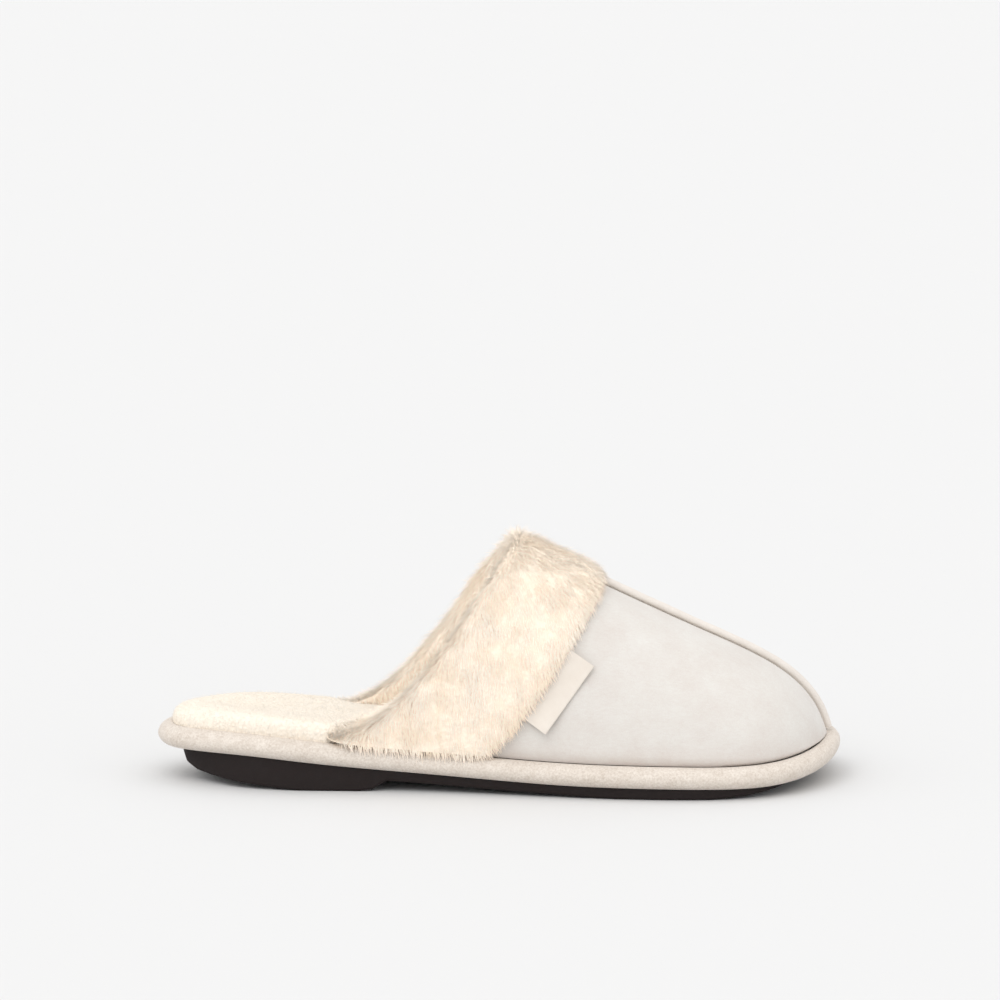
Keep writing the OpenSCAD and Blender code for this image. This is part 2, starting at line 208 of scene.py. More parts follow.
class Sum:
    """A number socket that can be used in Python expressions."""

    def __init__(self, kit: NodeKit, socket: bpy.types.NodeSocket) -> None:
        """Wrap one output socket of a tree."""
        self.kit = kit
        self.socket = socket

    def _math(self, operation: str, first: Any, second: Any = 0.0) -> "Sum":
        """Result of a Math node."""
        node = self.kit.add("ShaderNodeMath", {"operation": operation}, {0: first, 1: second})
        return Sum(self.kit, node.outputs[0])

    def __add__(self, other: Any) -> "Sum":
        """self + other."""
        return self._math("ADD", self, other)

    __radd__ = __add__

    def __sub__(self, other: Any) -> "Sum":
        """self - other."""
        return self._math("SUBTRACT", self, other)

    def __rsub__(self, other: Any) -> "Sum":
        """other - self."""
        return self._math("SUBTRACT", other, self)

    def __mul__(self, other: Any) -> "Sum":
        """self * other."""
        return self._math("MULTIPLY", self, other)

    __rmul__ = __mul__

    def __truediv__(self, other: Any) -> "Sum":
        """self / other."""
        return self._math("DIVIDE", self, other)

    def __rtruediv__(self, other: Any) -> "Sum":
        """other / self."""
        return self._math("DIVIDE", other, self)

    def clamped(self) -> "Sum":
        """The value held between 0 and 1."""
        return self._math("MINIMUM", self._math("MAXIMUM", self, 0.0), 1.0)


class Recipe(NodeKit):
    """A surface material under construction."""

    def __init__(self, name: str) -> None:
        """Start a material with one principled shader.

        Args:
            name: Name of the material.
        """
        self.material = bpy.data.materials.new(name)
        self.material.use_nodes = True
        super().__init__(self.material.node_tree)
        self.shader = self.add("ShaderNodeBsdfPrincipled")
        self.add("ShaderNodeOutputMaterial", None, {"Surface": self.shader.outputs[0]})
        self.place = self.add("ShaderNodeTexCoord").outputs["Object"]

    def noise(self, size: float, detail: float = 2.0, roughness: float = 0.5,
              place: Any = None) -> Sum:
        """Noise with features of a size in millimetres, from 0 to 1."""
        return self.sum(self.add("ShaderNodeTexNoise", None, {
            "Vector": place or self.place, "Scale": 1 / (size * MM),
            "Detail": detail, "Roughness": roughness}))

    def stretched(self, scale: Sequence[float], turn: Sequence[float]) -> bpy.types.NodeSocket:
        """The object's place with its axes turned and scaled."""
        return self.add("ShaderNodeMapping", None, {
            "Vector": self.place, "Rotation": turn, "Scale": scale}).outputs[0]

    def attribute(self, name: str) -> Sum:
        """A number stored on the mesh."""
        return self.sum(self.add("ShaderNodeAttribute", {"attribute_name": name}), "Fac")

    def mix(self, factor: Any, first: Any, second: Any) -> bpy.types.NodeSocket:
        """Blend of two colours."""
        return self.add("ShaderNodeMix", {"data_type": "RGBA"}, {0: factor, 6: first, 7: second}).outputs[2]

    def bump(self, height: Any, depth: float, under: Any = None) -> bpy.types.NodeSocket:
        """Normal of a relief.

        Args:
            height: Height over the surface, from 0 to 1.
            depth: Depth of the relief in millimetres.
            under: Normal of a coarser relief that this one lies on.

        Returns:
            The relief's normal.
        """
        sockets = {"Height": height, "Distance": depth * MM, "Strength": 1.0}
        if under is not None:
            sockets["Normal"] = under
        return self.add("ShaderNodeBump", None, sockets).outputs[0]

    def finish(self, colour: Any, roughness: Any, normal: Any = None,
               fixed: dict[str, float] | None = None) -> bpy.types.Material:
        """Feed the shader and return the material.

        Args:
            colour: Base colour value or link.
            roughness: Roughness value or link.
            normal: Link of the relief, if the surface has one.
            fixed: Values of other sockets, by name.

        Returns:
            The finished material.
        """
        self.feed(self.shader.inputs["Base Color"], colour)
        self.feed(self.shader.inputs["Roughness"], roughness)
        if normal is not None:
            self.feed(self.shader.inputs["Normal"], normal)
        for name, value in (fixed or {}).items():
            self.shader.inputs[name].default_value = value
        return self.material


class Planting(NodeKit):
    """A Geometry Nodes tree with named inputs, run once on an object."""

    def __init__(self, name: str) -> None:
        """Start a tree with a geometry input and output.

        Args:
            name: Name of the tree.
        """
        tree = bpy.data.node_groups.new(name, "GeometryNodeTree")
        super().__init__(tree)
        self._socket("Geometry", "NodeSocketGeometry", "OUTPUT")
        self._socket("Geometry", "NodeSocketGeometry", "INPUT")
        self.given = self.add("NodeGroupInput")
        self.result = self.add("NodeGroupOutput")

    def _socket(self, name: str, kind: str, way: str) -> bpy.types.NodeTreeInterfaceSocket:
        """Add a socket to the tree's interface."""
        return self.tree.interface.new_socket(name, in_out=way, socket_type=kind)

    def number(self, name: str, default: float) -> bpy.types.NodeSocket:
        """A named number input."""
        self._socket(name, "NodeSocketFloat", "INPUT").default_value = default
        return self.given.outputs[name]

    def count(self, name: str, default: int) -> bpy.types.NodeSocket:
        """A named whole-number input."""
        self._socket(name, "NodeSocketInt", "INPUT").default_value = default
        return self.given.outputs[name]

    def finish_input(self) -> bpy.types.NodeSocket:
        """The material input."""
        self._socket("Finish", "NodeSocketMaterial", "INPUT")
        return self.given.outputs["Finish"]

    def vector(self, operation: str, first: Any, second: Any = None,
               scale: Any = None) -> bpy.types.NodeSocket:
        """Result of a Vector Math node.

        Args:
            operation: Blender's name of the operation.
            first: First vector.
            second: Second vector, where the operation has one.
            scale: Factor, where the operation has one.

        Returns:
            The node's vector output.
        """
        sockets: dict[str | int, Any] = {0: first}
        if second is not None:
            sockets[1] = second
        if scale is not None:
            sockets["Scale"] = scale
        return self.add("ShaderNodeVectorMath", {"operation": operation}, sockets).outputs[0]

    def end(self, instances: Any, finish: Any) -> None:
        """Make the instances real, give them their finish and end the tree."""
        real = self.add("GeometryNodeRealizeInstances", None, {0: instances}).outputs[0]
        dressed = self.add("GeometryNodeSetMaterial", None, {"Geometry": real, "Material": finish})
        self.feed(self.result.inputs[0], dressed.outputs[0])

    def run(self, name: str, seed_mesh: bpy.types.Mesh, values: dict[str, Any]) -> bpy.types.Object:
        """Grow the tree on a mesh and keep the result as a plain mesh.

        Args:
            name: Name of the new piece.
            seed_mesh: Surface or path that the tree works on.
            values: Values of the named inputs.

        Returns:
            A linked object with a plain, smoothly shaded mesh.
        """
        seed = linked(name + "_seed", seed_mesh)
        modifier = seed.modifiers.new("planting", "NODES")
        modifier.node_group = self.tree
        names = {item.name: item.identifier for item in self.tree.interface.items_tree
                 if item.item_type == "SOCKET" and item.in_out == "INPUT"}
        for key, value in values.items():
            modifier[names[key]] = value
        seen = seed.evaluated_get(bpy.context.evaluated_depsgraph_get())
        mesh = bpy.data.meshes.new_from_object(seen)
        mesh.name = name
        mesh.materials.clear()
        mesh.materials.append(values["Finish"])
        seed.modifiers.remove(modifier)
        bpy.data.objects.remove(seed)
        for polygon in mesh.polygons:
            polygon.use_smooth = True
        return linked(name, mesh)


# ---------------------------------------------------------------- finishes


@dataclass(frozen=True)
class Suede:
    """Brushed suede with a short nap, slightly blotched by the hand, and painted shade towards its lower
    edge.
    """

    name: str
    colour: Colour
    shade: Colour
    blotch: float = 11.0
    nap: float = 0.45
    grain: float = 2.2
    grain_depth: float = 0.10
    speckle: float = 0.9
    painted_shade_z: float = 0.0
    painted_shade_reach: float = 12.0

    def material(self) -> bpy.types.Material:
        """Build the material."""
        kit = Recipe(self.name)
        height = kit.sum(kit.add("ShaderNodeSeparateXYZ", None, {0: kit.place}), "Z")
        # Painted shade: the colour turns towards the shade tone in the lowest part of the panel, near the
        # seam with the platform.
        foot = ((self.painted_shade_z * MM - height) / (self.painted_shade_reach * MM)).clamped()
        blotch = kit.noise(self.blotch, 3.0, 0.6)
        fibre = kit.noise(self.nap, 3.0, 0.7)
        brushed = kit.noise(self.nap * 2.0, 2.0, 0.6, kit.stretched((0.35, 1, 1), (0, 0.5, 0.3)))
        tone = (blotch - 0.5) * 0.8 + (fibre - 0.5) * self.speckle + (brushed - 0.5) * 0.5 + 0.4
        tone = (tone + foot * foot * 0.55).clamped()
        colour = kit.mix(tone, self.colour, self.shade)
        grain = kit.noise(self.grain, 3.0, 0.55, kit.stretched((1, 1, 0.6), (0, 0.7, 0)))
        relief = kit.bump(grain, self.grain_depth)
        relief = kit.bump(fibre * 0.6 + brushed * 0.4, 0.05, relief)
        return kit.finish(colour, 0.86 + fibre * 0.12, relief,
                          {"Sheen Weight": 0.25, "Sheen Roughness": 0.4})


@dataclass(frozen=True)
class Fur:
    """Pile strands in patches of two shades, darker at the root as painted shade deep in the pile, with a
    painted glow that stands in for light scattered in the pile.
    """

    name: str
    tip: Colour
    root: Colour
    warm: Colour
    painted_glow: float = 0.17

    def material(self) -> bpy.types.Material:
        """Build the material."""
        kit = Recipe(self.name)
        along = kit.attribute("tip")
        own = kit.attribute("shade")
        patch = kit.noise(17.0, 3.0, 0.6)
        warmth = ((patch - 0.5) * 3.0 + (own - 0.5) * 0.4 + 0.3).clamped()
        tip = kit.mix(warmth, self.tip, self.warm)
        # Painted shade: the slightly darker root colour stands in for the shade deep in the pile.
        colour = kit.mix((along * 1.5).clamped(), self.root, tip)
        # Painted glow: the strands emit their own colour, standing in for light scattered through the pile.
        kit.feed(kit.shader.inputs["Emission Color"], colour)
        return kit.finish(colour, 0.75 + own * 0.2, None,
                          {"Specular IOR Level": 0.15, "Emission Strength": self.painted_glow})


@dataclass(frozen=True)
class Fleece:
    """Dense short underwool seen between and under the strands."""

    name: str
    light: Colour
    deep: Colour
    curl: float = 1.6

    def material(self) -> bpy.types.Material:
        """Build the material."""
        kit = Recipe(self.name)
        curls = kit.sum(kit.add("ShaderNodeTexVoronoi", {"feature": "SMOOTH_F1"}, {
            "Vector": kit.place, "Scale": 1 / (self.curl * MM), "Smoothness": 0.8}), "Distance")
        fibre = kit.noise(0.3, 4.0, 0.7)
        clump = kit.noise(5.0, 3.0, 0.6)
        # Darker in the hollows between the curls as painted shade, and in random clumps and fibres as the
        # wool's own tone.
        tone = (curls * 0.5 + (clump - 0.5) * 1.1 + (fibre - 0.5) * 0.5 + 0.1).clamped()
        relief = kit.bump(1 - curls, 0.5)
        relief = kit.bump(fibre, 0.12, relief)
        return kit.finish(kit.mix(tone, self.light, self.deep), 0.9 + fibre * 0.08, relief,
                          {"Specular IOR Level": 0.15})


@dataclass(frozen=True)
class Rubber:
    """Matte moulded rubber with a fine stipple and a faint bloom of dust."""

    name: str = "outsole_rubber"
    colour: Colour = srgb(27, 18, 17)
    bloom: Colour = srgb(40, 30, 28)

    def material(self) -> bpy.types.Material:
        """Build the material."""
        kit = Recipe(self.name)
        stipple = kit.noise(0.55, 2.0, 0.6)
        dust = kit.noise(7.0, 4.0, 0.65)
        tone = ((dust - 0.45) * 1.1 + (stipple - 0.5) * 0.6).clamped()
        relief = kit.bump(stipple, 0.09)
        relief = kit.bump(kit.noise(3.0, 2.0), 0.06, relief)
        return kit.finish(kit.mix(tone, self.colour, self.bloom), 0.62 + dust * 0.3, relief,
                          {"Specular IOR Level": 0.35})


@dataclass(frozen=True)
class Tape:
    """Woven tape in a fine twill that follows the piece's own UV map."""

    name: str
    colour: Colour
    shade: Colour
    yarn: float = 0.42

    def material(self) -> bpy.types.Material:
        """Build the material."""
        kit = Recipe(self.name)
        flat = kit.add("ShaderNodeTexCoord").outputs["UV"]
        yarns = []
        for turn in (0.0, math.pi / 2, math.pi / 4):
            turned = kit.add("ShaderNodeMapping", None, {
                "Vector": flat, "Rotation": (0, 0, turn), "Scale": (1 / self.yarn,) * 3}).outputs[0]
            wave = kit.add("ShaderNodeTexWave", {"wave_type": "BANDS"}, {
                "Vector": turned, "Scale": ONE_BAND, "Distortion": 0.6, "Detail": 1.0})
            yarns.append(kit.sum(wave, "Fac"))
        warp, weft, twill = yarns
        weave = warp * weft * 0.6 + twill * 0.4
        soil = kit.noise(4.0, 3.0)
        # Darker in the gaps between the yarns as painted shade, and in random soil patches.
        tone = ((1 - weave) * 0.55 + (soil - 0.5) * 0.5).clamped()
        relief = kit.bump(weave, 0.10)
        return kit.finish(kit.mix(tone, self.colour, self.shade), 0.72 + weave * 0.15, relief,
                          {"Sheen Weight": 0.2})


@dataclass(frozen=True)
class Thread:
    """Twisted sewing thread."""

    name: str
    colour: Colour
    shade: Colour
    twist: float = 0.4

    def material(self) -> bpy.types.Material:
        """Build the material."""
        kit = Recipe(self.name)
        turned = kit.stretched((1, 1, 1), (0.6, 0.7, 0.4))
        twist = kit.sum(kit.add("ShaderNodeTexWave", None, {
            "Vector": turned, "Scale": ONE_BAND / (self.twist * MM), "Distortion": 0.4}), "Fac")
        fluff = kit.noise(0.2, 2.0)
        relief = kit.bump(twist * 0.8 + fluff * 0.3, 0.06)
        # Darker in the grooves of the twist as painted shade.
        return kit.finish(kit.mix((1 - twist) * 0.7, self.colour, self.shade), 0.6 + fluff * 0.2, relief)


@dataclass(frozen=True)
class Foam:
    """Open-cell foam or pressed fibre, told apart by the size of the cells."""

    name: str
    colour: Colour
    shade: Colour
    cell: float = 0.7
    depth: float = 0.15

    def material(self) -> bpy.types.Material:
        """Build the material."""
        kit = Recipe(self.name)
        cells = kit.sum(kit.add("ShaderNodeTexVoronoi", None, {
            "Vector": kit.place, "Scale": 1 / (self.cell * MM)}), "Distance")
        patch = kit.noise(6.0, 3.0)
        tone = (cells * 0.7 + (patch - 0.5) * 0.6).clamped()
        relief = kit.bump(cells, self.depth)
        return kit.finish(kit.mix(tone, self.colour, self.shade), 0.85 + patch * 0.1, relief)


@dataclass(frozen=True)
class Ground:
    """Pale studio floor."""

    name: str = "studio_floor"
    colour: Colour = srgb(224, 224, 224)
    shade: Colour = srgb(220, 220, 220)

    def material(self) -> bpy.types.Material:
        """Build the material."""
        kit = Recipe(self.name)
        cloud = kit.noise(300.0, 2.0)
        tone = kit.mix(cloud * 0.1, self.colour, self.shade)
        return kit.finish(tone, 0.8 + cloud * 0.1, None, {"Specular IOR Level": 0.1})


class Finishes:
    """All finishes of the slipper, each built once."""

    def __init__(self) -> None:
        """Build the materials."""
        # The vamp suede is painted darker below 24 mm, as shade near the seam with the platform.
        self.suede = Suede("suede", srgb(222, 220, 215), srgb(206, 196, 189), painted_shade_z=24.0).material()
        self.wrap = Suede("wrap_suede", srgb(228, 219, 209), srgb(196, 183, 170), blotch=7.0, nap=0.8,
                          grain=1.3, grain_depth=0.42, speckle=2.2).material()
        self.piping = Suede("piping_suede", srgb(232, 226, 219), srgb(212, 203, 194), blotch=5.0, nap=0.4,
                            grain=1.2).material()
        # The fur and plush strands carry a painted glow (emission) on top of their colours.
        self.fur = Fur("fur", srgb(255, 243, 228), srgb(255, 239, 220), srgb(254, 231, 204)).material()
        self.plush = Fur("plush", srgb(247, 240, 230), srgb(244, 234, 219), srgb(246, 237, 223),
                         painted_glow=0.05).material()
        self.underfur = Fleece("underfur", srgb(255, 242, 225), srgb(251, 230, 204)).material()
        self.cover = Fleece("footbed_wool", srgb(250, 241, 228), srgb(245, 232, 214), curl=1.2).material()
        self.fleece = Fleece("lining_fleece", srgb(254, 246, 232), srgb(244, 230, 206), curl=2.2).material()
        self.rubber = Rubber().material()
        self.tape = Tape("tape", srgb(238, 230, 220), srgb(218, 206, 193)).material()
        self.thread = Thread("thread", srgb(246, 238, 226), srgb(222, 208, 190)).material()
        self.eva = Foam("platform_foam", srgb(226, 220, 206), srgb(204, 196, 180),
                        cell=0.5, depth=0.08).material()
        self.foam = Foam("soft_foam", srgb(246, 232, 188), srgb(226, 208, 160), cell=0.8).material()
        self.board = Foam("insole_board", srgb(196, 170, 136), srgb(160, 134, 102),
                          cell=0.4, depth=0.05).material()
        self.puff = Foam("toe_puff", srgb(222, 216, 202), srgb(196, 188, 172),
                         cell=0.6, depth=0.05).material()
        self.cord = Thread("cord", srgb(246, 242, 232), srgb(222, 216, 204)).material()
        self.ground = Ground().material()


# ---------------------------------------------------------------- meshes


class Solid:
    """Points and faces of one closed mesh, in millimetres."""

    def __init__(self, points: Grid, faces: list[Sequence[int]], flat: np.ndarray | None = None) -> None:
        """Keep the points, the faces and the flat place of each point."""
        self.points = points.reshape(-1, 3)
        self.faces = faces
        self.flat = flat

    @classmethod
    def shell(cls, outer: Grid, inner: Grid) -> "Solid":
        """Solid between two grids of the same size.

        Args:
            outer: Grid of the outer face.
            inner: Grid of the inner face.

        Returns:
            The closed solid, with the flat place of each point.
        """
        rows, columns = outer.shape[:2]
        index = np.arange(rows * columns).reshape(rows, columns)
        under = index + rows * columns
        faces = cls.quads(index) + [face[::-1] for face in cls.quads(under)]
        rim = np.concatenate([index[0, :-1], index[:-1, -1], index[-1, :0:-1], index[:0:-1, 0]])
        following = np.roll(rim, -1)
        faces += [(a, a + rows * columns, b + rows * columns, b) for a, b in zip(rim, following)]
        v, u = np.meshgrid(cls._run(outer, 0), cls._run(outer, 1), indexing="ij")
        flat = np.stack([u, v], -1).reshape(-1, 2)
        points = np.concatenate([outer.reshape(-1, 3), inner.reshape(-1, 3)])
        return cls(points, faces, np.concatenate([flat, flat]))

    @staticmethod
    def _run(grid: Grid, axis: int) -> np.ndarray:
        """Length along the middle row or column of a grid."""
        return travelled(grid[:, grid.shape[1] // 2] if axis == 0 else grid[grid.shape[0] // 2])

    @staticmethod
    def quads(index: np.ndarray) -> list[tuple[int, int, int, int]]:
        """Faces of a grid of point numbers."""
        corners = (index[:-1, :-1], index[1:, :-1], index[1:, 1:], index[:-1, 1:])
        return list(zip(*[corner.ravel().tolist() for corner in corners]))

    @classmethod
    def hoop(cls, rings: Grid) -> "Solid":
        """Rings round the outline, joined last to first."""
        index = np.arange(rings.shape[0] * rings.shape[1]).reshape(rings.shape[:2])
        index = np.concatenate([index, index[:1]])
        index = np.concatenate([index, index[:, :1]], 1)
        return cls(rings, cls.quads(index))

    @classmethod
    def bun(cls, rings: Grid, floor: Grid, crown: Grid) -> "Solid":
        """Rings round the outline, closed below and above by grids that run to the first and last ring.

        Args:
            rings: Rings from the lower to the upper one.
            floor: Grid across the outline whose two edges lie on the first ring.
            crown: Grid across the outline whose two edges lie on the last ring.

        Returns:
            The closed solid, with doubled points left for merging.
        """
        index = np.arange(rings.shape[0] * rings.shape[1]).reshape(rings.shape[:2])
        faces = cls.quads(np.concatenate([index, index[:, :1]], 1))
        points = [rings.reshape(-1, 3)]
        start = index.size
        for cap in (floor, crown):
            faces += cls.quads(np.arange(cap[..., 0].size).reshape(cap.shape[:2]) + start)
            points.append(cap.reshape(-1, 3))
            start += cap[..., 0].size
        return cls(np.concatenate(points), faces)

    @classmethod
    def tube(cls, path: Grid, radius: np.ndarray, sides: int = 12) -> "Solid":
        """Round tube along a path, closed at both ends.

        Args:
            path: Points of the centre line.
            radius: Radius at each point.
            sides: Points round the tube.

        Returns:
            The closed tube.
        """
        tangent = unit(np.gradient(path, axis=0))
        across = unit(np.cross([0.0, 0.0, 1.0], tangent))
        upward = np.cross(tangent, across)
        turn = np.linspace(0, 2 * np.pi, sides, endpoint=False)
        ring = np.cos(turn)[None, :, None] * across[:, None] + np.sin(turn)[None, :, None] * upward[:, None]
        points = path[:, None] + radius[:, None, None] * ring
        index = np.arange(len(path) * sides).reshape(-1, sides)
        faces: list[Sequence[int]] = list(cls.quads(np.concatenate([index, index[:, :1]], 1)))
        faces += [tuple(index[0]), tuple(index[-1][::-1])]
        return cls(points, faces)

    def piece(self, name: str, finish: bpy.types.Material, crease: float = 50.0) -> bpy.types.Object:
        """Make a linked object with outward faces and smooth shading.

        Args:
            name: Name of the object.
            finish: Its material.
            crease: Angle in degrees past which an edge is shaded sharp.

        Returns:
            The object, with its place in its mesh.
        """
        mesh = bpy.data.meshes.new(name)
        mesh.from_pydata((self.points * MM).tolist(), [], [list(map(int, f)) for f in self.faces])
        if self.flat is not None:
            layer = mesh.uv_layers.new(name="flat")
            corners = np.zeros(len(mesh.loops), dtype=np.int32)
            mesh.loops.foreach_get("vertex_index", corners)
            layer.data.foreach_set("uv", self.flat[corners].ravel().astype(np.float32))
        work = bmesh.new()
        work.from_mesh(mesh)
        bmesh.ops.remove_doubles(work, verts=work.verts, dist=1e-6)
        bmesh.ops.dissolve_degenerate(work, edges=work.edges, dist=1e-7)
        bmesh.ops.recalc_face_normals(work, faces=work.faces)
        limit = math.radians(crease)
        for face in work.faces:
            face.smooth = True
        for edge in work.edges:
            edge.smooth = len(edge.link_faces) != 2 or edge.calc_face_angle(0.0) < limit
        work.to_mesh(mesh)
        work.free()
        mesh.materials.append(finish)
        return linked(name, mesh)


def outward(grid: Grid) -> Grid:
    """Unit normals of a grid, on the side that its rows and columns turn to."""
    return unit(np.cross(np.gradient(grid, axis=0), np.gradient(grid, axis=1)))


def settle(piece: bpy.types.Object, replaced: Iterable[str] = ()) -> None:
    """Put a finished piece on the slipper's body and report it.

    Args:
        piece: The piece.
        replaced: CAD nodes that the piece stands for.
    """
    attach(piece, Body.SLIPPER.value)
    if replaced:
        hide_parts(*replaced)
    report(piece)


def report(piece: bpy.types.Object) -> None:
    """Report the size of a piece."""
    triangles = sum(len(polygon.vertices) - 2 for polygon in piece.data.polygons)
    log.info("%s: %d triangles", piece.name, triangles)


# ---------------------------------------------------------------- the last


@dataclass(frozen=True)
class Last:
    """The outlines and curves that every layer of the slipper is cut to."""

    plan: tuple[tuple[float, float, float], ...] = (
        (-132.4, -5.5, 10.5), (-125, -16, 21), (-107, -26, 30.5), (-82, -32.5, 36.5), (-50, -32.5, 37),
        (-18, -36, 40), (18, -44, 45.5), (54, -49.5, 49.5), (86, -50, 50), (108, -43.5, 46),
        (123, -28.5, 37), (132.4, -7.5, 21.5))
    bed_line: tuple[tuple[float, float], ...] = (
        (-132.5, 12.8), (-112, 13.4), (-92, 12.9), (-68, 10.2), (-40, 7.9), (0, 5.6), (30, 4.4),
        (60, 4.3), (86, 3.9), (104, 4), (120, 5.4), (132.5, 8.8))
    ridge_line: tuple[tuple[float, float], ...] = (
        (-10, 99.4), (8, 91.2), (28, 81.8), (50, 71.5), (76, 59.3), (100, 48.8), (115, 38.6),
        (123.5, 27.1), (127, 15.9))
    steps: int = 18
    platform_h: float = 8.6
    toe_rise: float = 0.7
    toe_rise_x: float = 80.0
    half_length: float = 132.0
    feather: float = 5.3  # inset of the seam between platform and upper
    dome_power: float = 2.15  # squareness of the upper's cross-section
    opening_side_x: float = -63.0
    opening_top_x: float = 8.0
    opening_bow: float = 0.6
    cuff_side_x: float = -6.0
    cuff_top_x: float = 42.0
    cuff_bow: float = 0.66
    taper_x: float = 60.0
    least_rise: float = 0.4

    @staticmethod
    def _span(p: Sequence[np.ndarray], t: np.ndarray) -> np.ndarray:
        """Points on one cubic B-spline span of four controls."""
        t = t[:, None]
        return ((1 - t) ** 3 * p[0] + (3 * t ** 3 - 6 * t ** 2 + 4) * p[1]
                + (-3 * t ** 3 + 3 * t ** 2 + 3 * t + 1) * p[2] + t ** 3 * p[3]) / 6

    @classmethod
    def line(cls, controls: Sequence[Sequence[float]], steps: int = 8) -> np.ndarray:
        """Smooth line through the first and last control.

        Args:
            controls: Control points.
            steps: Points on each span.

        Returns:
            Points of the line.
        """
        p = np.array(controls, float)
        q = np.concatenate([[2 * p[0] - p[1]], p, [2 * p[-1] - p[-2]]])
        t = np.arange(steps) / steps
        spans = [cls._span(q[i:i + 4], t) for i in range(len(p) - 1)]
        return np.concatenate(spans + [p[-1:]])

    @cached_property
    def edge(self) -> np.ndarray:
        """Edge of the platform from above.

        Returns:
            Points of the closed outline: the toe first, then back along the lateral side.
        """
        rows = np.array(self.plan)
        controls = np.concatenate([rows[::-1, [0, 1]], rows[:, [0, 2]]])
        count = len(controls)
        u = np.arange(count * self.steps) / self.steps + 0.5
        start = np.floor(u).astype(int)
        four = [controls[(start + d) % count] for d in (-2, -1, 0, 1)]
        return self._span(four, u - start)

    @cached_property
    def inward(self) -> np.ndarray:
        """Unit vectors that point into the outline."""
        d = np.roll(self.edge, -1, 0) - np.roll(self.edge, 1, 0)
        return unit(np.stack([d[:, 1], -d[:, 0]], 1))

    @property
    def half(self) -> int:
        """Number of the outline's point at the heel."""
        return len(self.edge) // 2

    def inset(self, distance: Any) -> np.ndarray:
        """The outline moved inward, by one distance or one for each point."""
        return self.edge + np.asarray(distance, float).reshape(-1, 1) * self.inward

    def pairs(self, loop: np.ndarray) -> tuple[np.ndarray, np.ndarray]:
        """Lateral and medial halves of a loop, each from the toe to the heel."""
        order = (-np.arange(self.half + 1)) % len(loop)
        return loop[:self.half + 1], loop[order]

    def across(self, ring: Grid, columns: int) -> Grid:
        """Straight rows of points across a ring, from its lateral to its medial half."""
        lateral, medial = self.pairs(ring)
        share = np.linspace(0, 1, columns)[None, :, None]
        return lateral[:, None] * (1 - share) + medial[:, None] * share

    def side_y(self, x: Any, distance: float, side: Side) -> np.ndarray:
        """Y of the outline moved inward by a distance, at stations on one side."""
        halves = self.pairs(self.inset(distance))
        line = halves[0 if side is Side.LATERAL else 1][::-1]
        return np.interp(x, np.maximum.accumulate(line[:, 0]), line[:, 1])

    @cached_property
    def _middle(self) -> np.ndarray:
        """Centre line of the upper, heel first."""
        lateral, medial = self.pairs(self.inset(self.feather))
        return ((lateral + medial) / 2)[::-1]

    def centre_y(self, x: Any) -> np.ndarray:
        """Y of the upper's centre line."""
        return np.interp(x, self._middle[:, 0], self._middle[:, 1])

    @cached_property
    def _bed(self) -> np.ndarray:
        """Underside of the platform, as points."""
        return self.line(self.bed_line)

    @cached_property
    def _ridge(self) -> np.ndarray:
        """Ridge of the upper, as points."""
        return self.line(self.ridge_line)

    def bed_z(self, x: Any) -> np.ndarray:
        """Height of the platform's underside."""
        return np.interp(x, self._bed[:, 0], self._bed[:, 1])

    def ridge_z(self, x: Any) -> np.ndarray:
        """Height of the upper's ridge."""
        return np.interp(x, self._ridge[:, 0], self._ridge[:, 1])

    def joint_z(self, x: Any) -> np.ndarray:
        """Height of the seam between platform and upper."""
        rise = smooth((np.asarray(x) - self.toe_rise_x) / (self.half_length - self.toe_rise_x))
        return self.bed_z(x) + self.platform_h + self.toe_rise * rise

    @property
    def tip_x(self) -> float:
        """Station of the upper's toe tip."""
        return float(self.edge[0, 0]) - self.feather

    def width_share(self, a: Any) -> np.ndarray:
        """Share of the upper's half width at an angle from its ridge."""
        return np.abs(np.sin(a)) ** (2 / self.dome_power)

    def height_share(self, a: Any) -> np.ndarray:
        """Share of the upper's height at an angle from its ridge."""
        return np.abs(np.cos(a)) ** (2 / self.dome_power)

    def opening_x(self, share: Any) -> np.ndarray:
        """Station of the opening's edge at a share of the height."""
        return self.opening_side_x + (self.opening_top_x - self.opening_side_x) * share ** self.opening_bow

    def cuff_x(self, share: Any) -> np.ndarray:
        """Station of the cuff's front edge at a share of the height."""
        return self.cuff_side_x + (self.cuff_top_x - self.cuff_side_x) * share ** self.cuff_bow

    def upper(self, x: Any, a: Any, depth: float = 0.0, lift: float = 0.05, seam: float = 0.0) -> Grid:
        """Points of the upper.

        Args:
            x: Stations.
            a: Angles from the ridge in radians, negative on the lateral side.
            depth: How far the points lie under the outer face.
            lift: How far the lower edge stands over the platform.
            seam: Gap between the two sides at the ridge.

        Returns:
            The points, in the shape of x and a together.
        """
        x, a = np.broadcast_arrays(np.asarray(x, float), np.asarray(a, float))
        taper = np.maximum(0, (x - self.taper_x) / (self.tip_x - self.taper_x)) ** 2
        px = x - depth * taper
        middle, base = self.centre_y(px), self.joint_z(px) + lift
        side = np.sign(a)
        edge_y = np.where(a < 0, self.side_y(px, self.feather + depth, Side.LATERAL),
                          self.side_y(px, self.feather + depth, Side.MEDIAL))
        gap = side * seam / 2
        reach = side * np.maximum(0, side * (edge_y - middle - gap))
        rise = np.maximum(self.least_rise, self.ridge_z(x) - depth - base)
        y, z = middle + gap + reach * self.width_share(a), base + rise * self.height_share(a)
        return np.stack([px, y, z], -1)

    def stations(self, start: Any, count: int) -> np.ndarray:
        """Stations from a start to the toe tip, closer together towards the tip."""
        share = 1 - (1 - np.arange(count + 1) / count) ** 1.8
        start = np.asarray(start, float)[..., None]
        return start + (self.tip_x - start) * share

    def on_bed(self, loop: np.ndarray, share: float) -> Grid:
        """A loop at a share of the platform's height."""
        x = loop[:, 0]
        z = self.bed_z(x) + (self.joint_z(x) - self.bed_z(x)) * share
        return np.column_stack([loop, z])


# ---------------------------------------------------------------- sole


